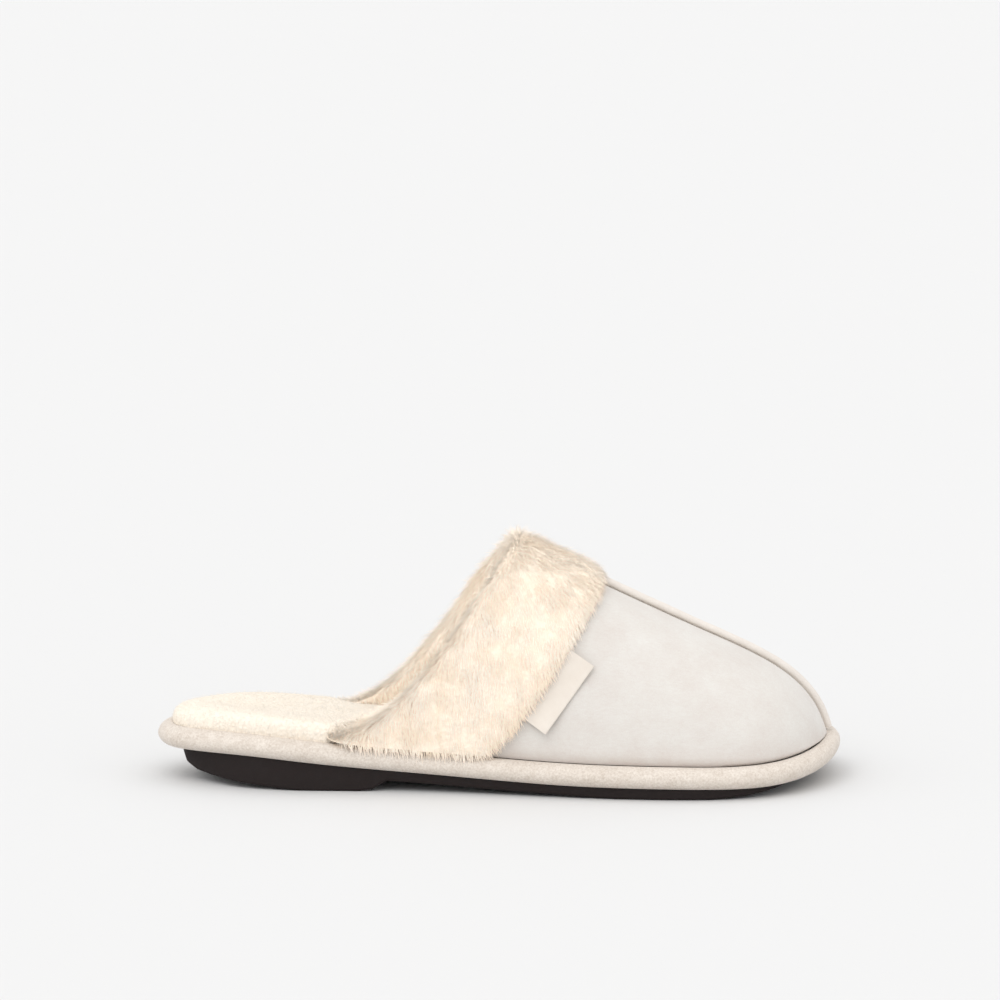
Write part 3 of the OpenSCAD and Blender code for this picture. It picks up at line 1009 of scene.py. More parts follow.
@dataclass(frozen=True)
class Sole:
    """Rubber outsole, foam platform and the suede that wraps it."""

    last: Last
    finishes: Finishes
    wrap_t: float = 1.2
    wrap_flange: float = 9.0
    foam_drop: float = 1.9
    groove_depth: float = 0.9
    groove_inset: float = 1.0
    pucker: float = 0.16  # depth of the suede's slight puckers
    outsole_inset: float = 3.8
    outsole_gap: float = 0.05
    front_x: float = 123.0
    back_x: float = -122.5
    toe_round: tuple[float, float] = (92.0, 38.0)
    heel_round: tuple[float, float] = (96.0, 34.0)
    corner: float = 1.3
    tread_depth: float = 1.2
    tread_w: float = 2.2
    tread_pitch: float = 9.0
    tread_margin: float = 5.0
    tread_wave: float = 1.1
    tread_soft: float = 0.35
    tread_columns: int = 49
    tread_rows: tuple[tuple[float, float], ...] = ((-74.0, -56.0), (46.0, 80.0))
    heel_bottom: tuple[tuple[float, float], ...] = (
        (-122.5, 10), (-121, 6.4), (-117, 4.4), (-106, 2.8), (-90, 1.2), (-78, 0), (-54, 0), (-49, 0.8),
        (-45.2, 3))
    fore_bottom: tuple[tuple[float, float], ...] = (
        (-43.5, 4.2), (-20, 2.9), (0, 1.9), (22, 1), (44, 0), (82, 0), (96, 1.4), (106, 2.7), (116, 4.3),
        (123, 6))

    def rim(self, under: float, count: int = 26) -> np.ndarray:
        """Section of the platform's edge as insets and heights, from low to high.

        Args:
            under: How far it lies inside the outer face.
            count: Number of steps.

        Returns:
            Rows of inset and height.
        """
        a = np.linspace(-np.pi / 2, np.pi / 2, count + 1)
        feather, half = self.last.feather, self.last.platform_h / 2
        return np.stack([under + (feather - under) * (1 - np.cos(a)), half + (half - under) * np.sin(a)], 1)

    def _ring(self, inset: float, height: float, pucker: float = 0.0) -> Grid:
        """Ring round the platform.

        Args:
            inset: Inset from the outline.
            height: Height over the platform's underside.
            pucker: Depth of the suede's slight puckers.

        Returns:
            Points of the ring.
        """
        share = height / self.last.platform_h
        ring = self.last.on_bed(self.last.inset(inset), share)
        if not pucker:
            return ring
        fine = ripple(ring, 3.2, 7.1, (1, 1, 2)) + 0.8 * ripple(ring, 9.0, 2.3)
        return self.last.on_bed(self.last.inset(inset + pucker * fine), share)

    def wrap(self) -> None:
        """Suede drawn round the foam and turned into the seam groove above it."""
        top, t = self.last.platform_h, self.wrap_t
        seam, low = self.last.feather + self.groove_inset, top - self.groove_depth
        outer = [self._ring(self.wrap_flange, 0)]
        for inset, height in self.rim(0):
            fade = math.sin(math.pi * min(height, top - height) / top)
            outer.append(self._ring(inset, height, self.pucker * fade))
        outer += [self._ring(seam - 0.45, top - 0.25), self._ring(seam, low)]
        outer.append(self._ring(self.wrap_flange, low))
        under = low - t * 0.7
        inner = [self._ring(self.wrap_flange, under), self._ring(seam, under)]
        inner += [self._ring(d, h) for d, h in self.rim(t)[::-1] if h < under]
        inner.append(self._ring(self.wrap_flange, t))
        piece = Solid.hoop(np.array(outer + inner)).piece("platform_wrap_suede", self.finishes.wrap, 60)
        settle(piece, ["platform_wrap"])

    def foam(self) -> None:
        """Foam core of the platform."""
        top = self.last.platform_h - self.foam_drop
        rings = np.array([self._ring(d, min(h, top)) for d, h in self.rim(self.wrap_t + 0.1, 12)])
        piece = bun_between(self.last, rings, 3).piece("platform_foam_core", self.finishes.eva)
        settle(piece, ["platform_foam"])

    def _ground_z(self, x: np.ndarray) -> np.ndarray:
        """Height of the outsole's ground side."""
        profile = np.array(self.heel_bottom + self.fore_bottom)
        return np.minimum(np.interp(x, profile[:, 0], profile[:, 1]), self.last.bed_z(x) - 0.8)

    def _tread(self, x: np.ndarray, y: np.ndarray, margin: np.ndarray) -> np.ndarray:
        """Depth of the tread grooves.

        Args:
            x: Stations.
            y: Places across the sole.
            margin: Distance from the outsole's edge.

        Returns:
            Depth at each place.
        """
        cut = np.zeros_like(x)
        wave = self.tread_wave * np.sin(y / 4.2)
        half, soft = self.tread_w / 2, self.tread_soft
        for first, last in self.tread_rows:
            for middle in np.arange(first, last + 0.1, self.tread_pitch):
                cut = np.maximum(cut, smooth((half + soft - np.abs(x - middle - wave)) / (2 * soft)))
        return self.tread_depth * cut * smooth((margin - self.tread_margin) / 0.8)

    def outsole(self) -> None:
        """Rubber outsole with a heel block, a raised arch and tread grooves."""
        last = Last(steps=54)
        x = last.edge[:, 0]
        reach = last.half_length - self.outsole_inset
        (toe_x, toe_run), (heel_x, heel_run) = self.toe_round, self.heel_round
        inset = self.outsole_inset + (reach + 0.4 - self.front_x) * smooth((x - toe_x) / toe_run)
        inset += (reach + self.back_x) * smooth((-x - heel_x) / heel_run)
        top = last.inset(inset)
        roof, ground = last.bed_z(top[:, 0]) - self.outsole_gap, self._ground_z(top[:, 0])
        tall = np.minimum(self.corner, 0.45 * (roof - ground))
        rings = [np.column_stack([top, roof])]
        for turn in np.linspace(0, np.pi / 2, 6):
            loop = last.inset(inset + tall * (1 - np.cos(turn)) + 0.02)
            rings.append(np.column_stack([loop, ground + tall * (1 - np.sin(turn))]))
        floor = last.across(rings[-1], self.tread_columns)
        share = np.linspace(0, 1, self.tread_columns)
        width = np.linalg.norm(floor[:, -1] - floor[:, 0], axis=1)[:, None]
        margin = width * np.minimum(share, 1 - share)
        floor[..., 2] += self._tread(floor[..., 0], floor[..., 1], margin)
        crown = np.stack(last.pairs(rings[0]), 1)
        solid = Solid.bun(np.array(rings)[::-1], floor, crown)
        piece = solid.piece("outsole_rubber_unit", self.finishes.rubber, 35)
        settle(piece, ["outsole"])

    def build(self) -> None:
        """Build every piece of the sole."""
        self.foam()
        self.wrap()
        self.outsole()


def bun_between(last: Last, rings: Grid, columns: int,
                crown: Callable[[Grid], np.ndarray] | None = None) -> Solid:
    """Closed solid of rings with straight floors and an optional shaped crown.

    Args:
        last: The last whose outline the rings follow.
        rings: Rings from the lower to the upper one.
        columns: Columns across the caps.
        crown: Function that gives the extra height of the crown's points.

    Returns:
        The closed solid.
    """
    caps = [last.across(ring, columns) for ring in (rings[0], rings[-1])]
    if crown is not None:
        caps[1][..., 2] += crown(caps[1])
    return Solid.bun(rings, caps[0], caps[1])


# ---------------------------------------------------------------- footbed


@dataclass(frozen=True)
class Footbed:
    """Insole board, foam and the plush cover that the foot stands on."""

    last: Last
    finishes: Finishes
    board_t: float = 1.2
    foam_t: float = 3.0
    plush_t: float = 1.8
    gap: float = 0.1
    lining_inset: float = 14.2
    wide_x: float = 68.0
    taper: float = 14.0
    toe: float = 5.5
    toe_x: float = 96.0
    heel_x: float = 98.0
    heel_reach: float = 30.0
    heel_roll: float = 5.5
    puff: float = 0.9
    crown_fade: float = 6.0
    lumps: float = 0.35
    dish: float = 0.7
    dish_x: float = -96.0

    @property
    def foam_top(self) -> float:
        """Top of the foam over the platform's joint."""
        return self.board_t + self.gap + self.foam_t

    def _insets(self, extra: float, heel: float = 0.0) -> np.ndarray:
        """Inset at each point of the outline.

        Args:
            extra: Inset added all round.
            heel: Inset added round the back of the heel.

        Returns:
            One inset for each point.
        """
        x, feather = self.last.edge[:, 0], self.last.feather
        extra = extra + heel * smooth((-x - self.heel_x) / self.heel_reach)
        back = (self.lining_inset - feather) * smooth((x + self.wide_x) / self.taper)
        front = self.toe * smooth((x - self.toe_x) / (self.last.half_length - self.toe_x))
        return extra + feather + 0.4 + back + front

    def ring(self, extra: float, rise: float, heel: float = 0.0) -> Grid:
        """Ring of the footbed at some extra inset and a rise over the joint."""
        loop = self.last.inset(self._insets(extra, heel))
        return np.column_stack([loop, self.last.joint_z(loop[:, 0]) + rise])

    def board(self) -> None:
        """Fibre board that the upper is lasted to."""
        loop = self.last.inset(self.last.feather + 1.9)
        z = self.last.joint_z(loop[:, 0])
        rings = np.array([np.column_stack([loop, z + rise]) for rise in (0.05, 0.3, self.board_t)])
        piece = bun_between(self.last, rings, 3).piece("insole_board_sheet", self.finishes.board)
        settle(piece, ["insole_board"])

    def foam(self) -> None:
        """Soft foam under the plush cover."""
        base, top = self.board_t + self.gap, self.foam_top
        steps = [(self.plush_t + 0.1, base), (self.plush_t + 0.4, base + self.foam_t * 0.6),
                 (self.plush_t + 1.6, top - 0.3), (self.plush_t + 4.0, top)]
        rings = np.array([self.ring(*step) for step in steps])
        piece = bun_between(self.last, rings, 3).piece("footbed_foam_pad", self.finishes.foam)
        settle(piece, ["footbed_foam"])

    def _crown(self, points: Grid) -> np.ndarray:
        """Soft unevenness of the plush cover, low where the heel rests.

        Args:
            points: Rows of points across the cover.

        Returns:
            Extra height of each point, nothing at the ends of the rows.
        """
        dish = np.exp(-((points[..., 0] - self.dish_x) / 26) ** 2 - (points[..., 1] - 2) ** 2 / 300)
        to_edge = [np.linalg.norm(points - points[:, end], axis=-1)
                   for end in (slice(0, 1), slice(-1, None))]
        fade = smooth(np.minimum(*to_edge) / self.crown_fade)
        return (self.lumps * ripple(points, 14.0, 4.2) - self.dish * dish) * fade

    def _profile(self, pile: float) -> list[tuple[float, float, float]]:
        """Section of the cover's edge.

        Args:
            pile: How far the section is grown outward.

        Returns:
            Rows of extra inset, rise and extra inset at the heel.
        """
        base, top = self.board_t + self.gap - 1.4, self.foam_top + self.plush_t + self.puff + pile
        rows = []
        for t in np.linspace(0, np.pi / 2, 16):
            over, up = 1 - math.cos(t) ** 0.85, math.sin(t) ** 0.8
            rows.append((4.2 * over - 0.5 * math.sin(2 * t) - pile * (1 - t / 1.6), base + (top - base) * up,
                         self.heel_roll * over))
        return rows + [(6.0, top + 0.1, self.heel_roll), (8.5, top + 0.15, self.heel_roll)]

    def cover(self) -> None:
        """Plush cover, crowned over the foam and tucked in round its edge."""
        rings = np.array([self.ring(*step) for step in self._profile(0.0)])
        solid = bun_between(self.last, rings, 25, self._crown)
        piece = solid.piece("footbed_plush_cover", self.finishes.cover)
        settle(piece, ["footbed_plush"])

    def pile_surface(self) -> bpy.types.Mesh:
        """Surface that the cover's pile grows from.

        Returns:
            The mesh, with the attributes that guide the pile.
        """
        rings = np.array([self.ring(*step) for step in self._profile(-0.3)])
        edge_points = np.concatenate([rings, rings[:, :1]], 1)
        crown = self.last.across(rings[-1], 21)
        crown[..., 2] += self._crown(crown)
        return seed_mesh("footbed_pile_seed", [edge_points[:, ::2], crown[::3]],
                         lambda p, n: lay_down(n, (-0.25, 0.15, -0.5)), lambda p: np.ones(p.shape[:-1]),
                         lambda p: np.where(p[..., 0] < 0, 1.0, 0.2))

    def build(self, pile: "Pile") -> None:
        """Build every piece of the footbed.

        Args:
            pile: Grows the strands of the plush cover.
        """
        self.board()
        self.foam()
        self.cover()
        pile.grow("footbed_pile", self.pile_surface(), self.finishes.plush, length=1.6, density=1.36,
                  lean=1.2, clump=4.0, gather=0.3, radius=0.07, seed=31, slot="plush")


# ---------------------------------------------------------------- upper


@dataclass(frozen=True)
class Upper:
    """Suede panels, piping, toe puff, padding and lining of the mule."""

    last: Last
    finishes: Finishes
    suede_t: float = 1.4
    puff_gap: float = 0.75
    puff_t: float = 0.6
    puff_x: float = 90.0
    stiffener_gap: float = 1.6
    padding_t: float = 2.6
    lining_t: float = 3.0
    seam_gap: float = 1.2
    edge_gap: float = 1.4
    layer_lift: float = 1.3
    layer_seam: float = 1.0
    binding_in: float = 0.3
    binding_x: tuple[float, ...] = (-0.4, -0.8, -1.2)
    tuck: float = 1.15  # how far the panel turns in above the platform
    tuck_share: float = 0.075
    seam_dip: float = 0.85
    seam_reach: float = 3.2
    seam_flare: float = 24.0
    swells: tuple[tuple[float, float, float], ...] = ((0.42, 30.0, 1.7), (0.16, 11.0, 5.3))
    puckers: float = 0.10
    panel_rows: int = 84
    panel_columns: int = 110
    piping_r: float = 1.5
    piping_drop: float = 0.2
    cord_r: float = 0.7

    @property
    def padding_depth(self) -> float:
        """Depth of the padding under the outer face."""
        return self.suede_t + self.stiffener_gap

    @property
    def total_t(self) -> float:
        """Thickness of the whole upper."""
        return self.padding_depth + self.padding_t + 0.1 + self.lining_t

    def grid(self, depth: float, lift: float, low: float, high: float, rows: int, columns: int,
             start: float | None = None, set_back: float = 0.0, seam: float = 0.0) -> Grid:
        """Grid of the upper, from the opening or a start to the toe.

        Args:
            depth: Depth under the outer face.
            lift: Gap between the lower edge and the platform.
            low: First angle from the ridge in degrees.
            high: Last angle.
            rows: Steps round the foot.
            columns: Steps along it.
            start: Station where the grid starts, or None for the opening.
            set_back: Distance from the opening's edge.
            seam: Gap between the two sides at the ridge.

        Returns:
            The grid, one row for each angle.
        """
        a = np.radians(np.linspace(low, high, rows + 1))
        opening = self.last.opening_x(self.last.height_share(a)) + set_back
        first = opening if start is None else np.full(a.shape, start)
        return self.last.upper(self.last.stations(first, columns), a[:, None], depth, lift, seam)

    def panel(self, side: Side) -> None:
        """Suede panel, softly filled, lasted into the groove and drawn into the centre seam.

        Args:
            side: Side of the foot.
        """
        low, high = (-90.0, -0.001) if side is Side.LATERAL else (0.001, 90.0)
        steps = (self.panel_rows, self.panel_columns)
        outer, inner = (self.grid(depth, 0.05, low, high, *steps, seam=self.seam_gap)
                        for depth in (0.0, self.suede_t))
        normal = away_from_middle(outer, self.last)
        share = self.last.height_share(np.radians(np.linspace(low, high, self.panel_rows + 1))[:, None])
        from_seam = np.abs(outer[..., 1] - self.last.centre_y(outer[..., 0]))
        from_seam = np.hypot(from_seam, self.seam_flare * (1 - share))
        tuck = self.tuck * (1 - np.clip(share / self.tuck_share, 0, 1)) ** 2
        dip = self.seam_dip * (1 - smooth(from_seam / self.seam_reach))
        fade = smooth(share / 0.2) * smooth(from_seam / 8)
        soft = sum(height * ripple(outer, size, seed) for height, size, seed in self.swells)
        gather = ripple(outer, 3.4, 9.1, (1, 1, 7)) * np.exp(-(share / 0.16) ** 2)
        gather = gather * smooth((outer[..., 0] - 60) / 40)
        outer = outer + normal * (soft * fade - tuck - dip + self.puckers * gather)[..., None]
        inner = inner - normal * (tuck * 0.6)[..., None]
        name = f"vamp_panel_{side.name.lower()}"
        piece = Solid.shell(outer, inner).piece(name + "_suede", self.finishes.suede, 60)
        settle(piece, [name])

    def layer(self, name: str, node: str, slot: str, finish: bpy.types.Material, depth: float, t: float,
              start: float | None = None, lift: float | None = None) -> bpy.types.Object:
        """One hidden layer of the upper.

        Args:
            name: Name of the piece.
            node: CAD node that it stands for.
            slot: Material slot of the record; not used.
            finish: Its material.
            depth: Depth of its outer face.
            t: Thickness.
            start: Station where it starts, or None for the opening.
            lift: Gap between its lower edge and the platform, or None for the usual one.

        Returns:
            The piece.
        """
        lift = self.layer_lift if lift is None else lift
        set_back = 0.0 if start is not None else self.edge_gap
        columns = 20 if start is not None else 60
        grids = [self.grid(d, lift, -90, 90, 72, columns, start, set_back, self.layer_seam)
                 for d in (depth, depth + t)]
        piece = Solid.shell(*grids).piece(name, finish, 60)
        settle(piece, [node])
        return piece

    def binding(self) -> None:
        """Tape round the raw edges of the opening."""
        a = np.radians(np.linspace(-90, 90, 121))
        x = self.last.opening_x(self.last.height_share(a))
        edges = [np.stack([self.last.upper(x + dx, a, depth, self.layer_lift, self.layer_seam)
                           for dx in self.binding_x])
                 for depth in (self.binding_in, self.total_t - self.binding_in)]
        piece = Solid.shell(*edges).piece("topline_binding_tape", self.finishes.tape)
        settle(piece, ["topline_binding"])

    def seam_frames(self, start: float, end: float, count: int) -> tuple[Grid, Grid, Grid]:
        """Frames along the ridge.

        Args:
            start: First station.
            end: Last station.
            count: Number of steps.

        Returns:
            Points with their sideways and outward directions.
        """
        share = 1 - (1 - np.arange(count + 1) / count) ** 1.4
        x = start + (end - start) * share
        point = np.stack([x, self.last.centre_y(x), self.last.ridge_z(x)], 1)
        tangent = unit(np.gradient(point, axis=0))
        sideways = unit(np.cross([0.0, 0.0, 1.0], tangent))
        return point, sideways, np.cross(tangent, sideways)

    def piping(self) -> None:
        """Suede strip folded round a cord, with a flange down between the panels."""
        point, sideways, out = self.seam_frames(self.last.cuff_top_x - 4.0, self.last.tip_x - 0.4, 220)
        run = np.pad(travelled(point)[:, None], ((0, 0), (0, 2)))
        swell = 1 + 0.035 * ripple(run, 2.6, 0.4)
        swell += 0.03 * ripple(run, 12.0, 3.4)
        rise = self.piping_r - self.piping_drop
        grids = []
        for radius, flange, first in ((self.piping_r, 0.4, 105.0), (self.cord_r + 0.1, 0.05, 94.0)):
            turn = np.radians(np.linspace(-first, first - 540, 24))
            section = np.stack([radius * np.cos(turn), rise + radius * np.sin(turn)], 1)
            section = np.concatenate([[(-flange, -self.suede_t)], section, [(flange, -self.suede_t)]])
            scaled = section[:, None] * swell[None, :, None]
            grids.append(point[None] + scaled[..., :1] * sideways[None] + scaled[..., 1:] * out[None])
        piece = Solid.shell(*grids).piece("centre_piping_suede", self.finishes.piping, 70)
        settle(piece, ["centre_piping"])
        core = Solid.tube(point[4:-4] + rise * out[4:-4], np.full(len(point) - 8, self.cord_r), 10)
        settle(core.piece("piping_cord_core", self.finishes.cord), ["piping_cord"])

    def build(self) -> None:
        """Build every piece of the upper."""
        depth = self.padding_depth
        self.layer("toe_puff_shell", "toe_puff", "toe_puff", self.finishes.puff,
                   self.suede_t + self.puff_gap, self.puff_t, self.puff_x, 1.4)
        padding = self.layer("vamp_padding_fill", "vamp_padding", "soft_foam", self.finishes.foam,
                             depth, self.padding_t)
        lining = self.layer("vamp_lining_fleece", "vamp_lining", "fur", self.finishes.fleece,
                            depth + self.padding_t + 0.1, self.lining_t)
        self.binding()
        for side in Side:
            self.panel(side)
        self.piping()


def away_from_middle(grid: Grid, last: Last) -> Grid:
    """Unit normals of a grid of the upper that point away from the foot.

    Args:
        grid: Grid of points.
        last: The last that it follows.

    Returns:
        One normal for each point.
    """
    normal = outward(grid)
    middle = np.stack([grid[..., 0], last.centre_y(grid[..., 0]), last.joint_z(grid[..., 0])], -1)
    return normal if (normal * (grid - middle)).sum() > 0 else -normal


# ---------------------------------------------------------------- pile and stitches


def lay_down(normal: Grid, wanted: Sequence[float] | Grid) -> Grid:
    """Part of a wanted direction that lies along the surface."""
    wanted = np.broadcast_to(np.asarray(wanted, float), normal.shape)
    return wanted - normal * (wanted * normal).sum(-1, keepdims=True)


def seed_mesh(name: str, grids: Sequence[Grid], flow: Callable[[Grid, Grid], Grid],
              length: Callable[[Grid], np.ndarray], cover: Callable[[Grid], np.ndarray],
              centre: Sequence[float] | None = None) -> bpy.types.Mesh:
    """Open surface with the attributes that guide the pile.

    Args:
        name: Name of the mesh.
        grids: Grids of points in millimetres.
        flow: Gives the lie of the pile from points and normals.
        length: Gives the share of the full length.
        cover: Gives the share of the full density.
        centre: Point that the normals turn away from, or None for upward.

    Returns:
        The mesh, in metres.
    """
    points, faces, vectors, lengths, covers = [], [], [], [], []
    start = 0
    for grid in grids:
        normal = outward(grid)
        reference = grid - np.array(centre) if centre is not None else np.array([0.0, 0.0, 1.0])
        turned = (normal * reference).sum() < 0
        normal = -normal if turned else normal
        index = np.arange(grid[..., 0].size).reshape(grid.shape[:2]) + start
        faces += [quad[::-1] if turned else quad for quad in Solid.quads(index)]
        start += index.size
        points.append(grid.reshape(-1, 3))
        vectors.append(flow(grid, normal).reshape(-1, 3))
        lengths.append(length(grid).ravel())
        covers.append(cover(grid).ravel())
    mesh = bpy.data.meshes.new(name)
    mesh.from_pydata((np.concatenate(points) * MM).tolist(), [], faces)
    for key, kind, field, values in (
            ("flow", "FLOAT_VECTOR", "vector", vectors), ("pile", "FLOAT", "value", lengths),
            ("cover", "FLOAT", "value", covers)):
        layer = mesh.attributes.new(key, kind, "POINT")
        layer.data.foreach_set(field, np.concatenate(values).ravel().astype(np.float32))
    return mesh


@dataclass(frozen=True)
class Pile:
    """Strands grown on a surface, laid along its flow and gathered in clumps."""

    sides: int = 3
    segments: int = 3
    softness: float = 1.0
    curl: float = 0.3
    wisp_size: float = 0.38
    wisp_gather: float = 0.45
    quick_share: float = 0.35
    quick_swell: float = 1.7
    flatness: tuple[float, float, float] = (0.35, 1.5, 1.0)

    @staticmethod
    def _named(kit: Planting, name: str, kind: str = "FLOAT") -> bpy.types.NodeSocket:
        """A named attribute of the surface."""
        return kit.add("GeometryNodeInputNamedAttribute", {"data_type": kind}, {"Name": name}).outputs[0]

    @staticmethod
    def _chance(kit: Planting, kind: str, low: Any, high: Any, turn: int) -> bpy.types.NodeSocket:
        """A seeded random value for each strand, one series for each turn."""
        first = {"FLOAT": 2, "FLOAT_VECTOR": 0}[kind]
        node = kit.add("FunctionNodeRandomValue", {"data_type": kind}, {
            first: low, first + 1: high, "Seed": kit.wrap(kit.given.outputs["Seed"]) + turn})
        return next(socket for socket in node.outputs if socket.enabled)

    @staticmethod
    def _gathered(kit: Planting, place: bpy.types.NodeSocket, size: Any,
                  strength: Any) -> bpy.types.NodeSocket:
        """Pull of each strand towards the middle of its clump.

        Args:
            kit: The tree.
            place: Place of the strand.
            size: Size of a clump in metres.
            strength: Strength of the pull one clump's size away.

        Returns:
            The pull, as a vector.
        """
        share = 1 / kit.wrap(size)
        cells = kit.add("ShaderNodeTexVoronoi", {"feature": "F1"}, {"Vector": place, "Scale": share})
        towards = kit.vector("SUBTRACT", cells.outputs["Position"], place)
        return kit.vector("SCALE", kit.vector("SCALE", towards, scale=share), scale=strength)

    def _turn(self, kit: Planting, place: bpy.types.NodeSocket,
              normal: bpy.types.NodeSocket) -> bpy.types.NodeSocket:
        """Turn of each strand: along the flow, into its clump and a little astray.

        Args:
            kit: The tree.
            place: Place of the strand.
            normal: Normal of the surface there.

        Returns:
            The rotation, with the strand's flat side outward.
        """
        given = kit.given.outputs
        clump, gather = kit.wrap(given["Clump"]), kit.wrap(given["Gather"])
        pull = kit.vector("ADD", self._gathered(kit, place, clump, gather),
                          self._gathered(kit, place, clump * self.wisp_size, gather * self.wisp_gather))
        any_way = self._chance(kit, "FLOAT_VECTOR", (-1.0, -1.0, -1.0), (1.0, 1.0, 1.0), 1)
        loose = kit.vector("SCALE", any_way, scale=given["Stray"])
        laid = kit.vector("SCALE", self._named(kit, "flow", "FLOAT_VECTOR"), scale=given["Lean"])
        side = kit.vector("ADD", kit.vector("ADD", laid, pull), loose)
        aim = kit.vector("NORMALIZE", kit.vector("ADD", normal, side))
        return kit.add("FunctionNodeAxesToRotation", {"primary_axis": "Z", "secondary_axis": "X"}, {
            "Primary Axis": aim, "Secondary Axis": kit.vector("SCALE", normal, scale=-1.0)}).outputs[0]

    def _strand(self, kit: Planting, place: bpy.types.NodeSocket) -> bpy.types.NodeSocket:
        """One flattened, bent strand of unit length, marked with the height along it.

        Args:
            kit: The tree.
            place: Place of the strand's own points.

        Returns:
            The strand's geometry.
        """
        given = kit.given.outputs
        cone = kit.add("GeometryNodeMeshCone", {"fill_type": "NGON"}, {
            "Vertices": self.sides, "Side Segments": self.segments, "Fill Segments": 1,
            "Radius Top": 0.0, "Radius Bottom": given["Radius"], "Depth": 1.0})
        blade = kit.add("GeometryNodeTransform", None, {
            "Geometry": cone.outputs["Mesh"], "Scale": self.flatness})
        height = kit.sum(kit.add("ShaderNodeSeparateXYZ", None, {0: place}), "Z")
        bend = kit.add("ShaderNodeCombineXYZ", None, {0: height * height * given["Curl"]}).outputs[0]
        bent = kit.add("GeometryNodeSetPosition", None, {"Geometry": blade.outputs[0], "Offset": bend})
        return kit.add("GeometryNodeStoreNamedAttribute", {"data_type": "FLOAT", "domain": "POINT"}, {
            "Geometry": bent.outputs[0], "Name": "tip", "Value": height}).outputs[0]

    @cached_property
    def tree(self) -> Planting:
        """The Geometry Nodes tree of the strands.

        Returns:
            The tree, which works on a surface made by seed_mesh.
        """
        kit = Planting("pile")
        for name, default in (("Density", 1.0), ("Length", 0.006), ("Radius", 0.02), ("Lean", 0.8),
                              ("Clump", 0.006), ("Gather", 0.8), ("Curl", 0.25), ("Stray", 0.25)):
            kit.number(name, default)
        seed, finish, given = kit.count("Seed", 1), kit.finish_input(), kit.given.outputs
        spread = kit.add("GeometryNodeDistributePointsOnFaces", {"distribute_method": "RANDOM"}, {
            "Mesh": given[0], "Seed": seed,
            "Density": kit.wrap(given["Density"]) * self._named(kit, "cover")})
        place = kit.add("GeometryNodeInputPosition").outputs[0]
        normal = spread.outputs["Normal"]
        own = kit.wrap(self._chance(kit, "FLOAT", 0.7, 1.15, 2)) * self._named(kit, "pile") * given["Length"]
        marked = kit.add("GeometryNodeInstanceOnPoints", None, {
            "Points": spread.outputs["Points"], "Instance": self._strand(kit, place),
            "Rotation": self._turn(kit, place, normal),
            "Scale": kit.add("ShaderNodeCombineXYZ", None, {0: own, 1: own, 2: own}).outputs[0]})
        for kind, name, value in (("FLOAT", "shade", self._chance(kit, "FLOAT", 0.0, 1.0, 3)),
                                  ("FLOAT_VECTOR", "facing", normal)):
            marked = kit.add("GeometryNodeStoreNamedAttribute", {"data_type": kind, "domain": "INSTANCE"}, {
                "Geometry": marked.outputs[0], "Name": name, "Value": value})
        kit.end(marked.outputs[0], finish)
        return kit

    @staticmethod
    def _soften(mesh: bpy.types.Mesh, share: float) -> None:
        """Turn the strands' shading normals towards those of the surface that they grow from.

        Args:
            mesh: Mesh of the strands, whose guiding attribute is taken off.
            share: Share of the surface's normal.
        """
        count = len(mesh.vertices)
        facing, own = np.zeros(count * 3, np.float32), np.zeros(count * 3, np.float32)
        mesh.attributes["facing"].data.foreach_get("vector", facing)
        mesh.vertex_normals.foreach_get("vector", own)
        mixed = (facing * share + own * (1 - share)).reshape(-1, 3)
        mixed /= np.maximum(np.linalg.norm(mixed, axis=1, keepdims=True), 1e-6)
        mesh.attributes.remove(mesh.attributes["facing"])
        mesh.normals_split_custom_set_from_vertices(mixed.tolist())

    def grow(self, name: str, surface: bpy.types.Mesh, finish: bpy.types.Material, length: float,
             density: float, lean: float, clump: float, gather: float, radius: float, seed: int,
             slot: str, stray: float = 0.22) -> None:
        """Grow strands on a surface.

        Args:
            name: Name of the piece.
            surface: Mesh with the guiding attributes.
            finish: Material of the strands.
            length: Full length in millimetres.
            density: Strands on each square millimetre.
            lean: How far the strands lie along the flow.
            clump: Size of a clump in millimetres.
            gather: How strongly tips lean to the middle of their clump.
            radius: Radius of a strand's root in millimetres.
            seed: Random seed.
            slot: Material slot of the record; not used.
            stray: How far single strands lean astray.
        """
        piece = self.tree.run(name, surface, {
            "Density": density / MM ** 2, "Length": length * MM, "Radius": radius / length,
            "Lean": lean, "Clump": clump * MM, "Gather": gather, "Curl": self.curl, "Stray": stray,
            "Seed": seed, "Finish": finish})
        self._soften(piece.data, self.softness)
        settle(piece)


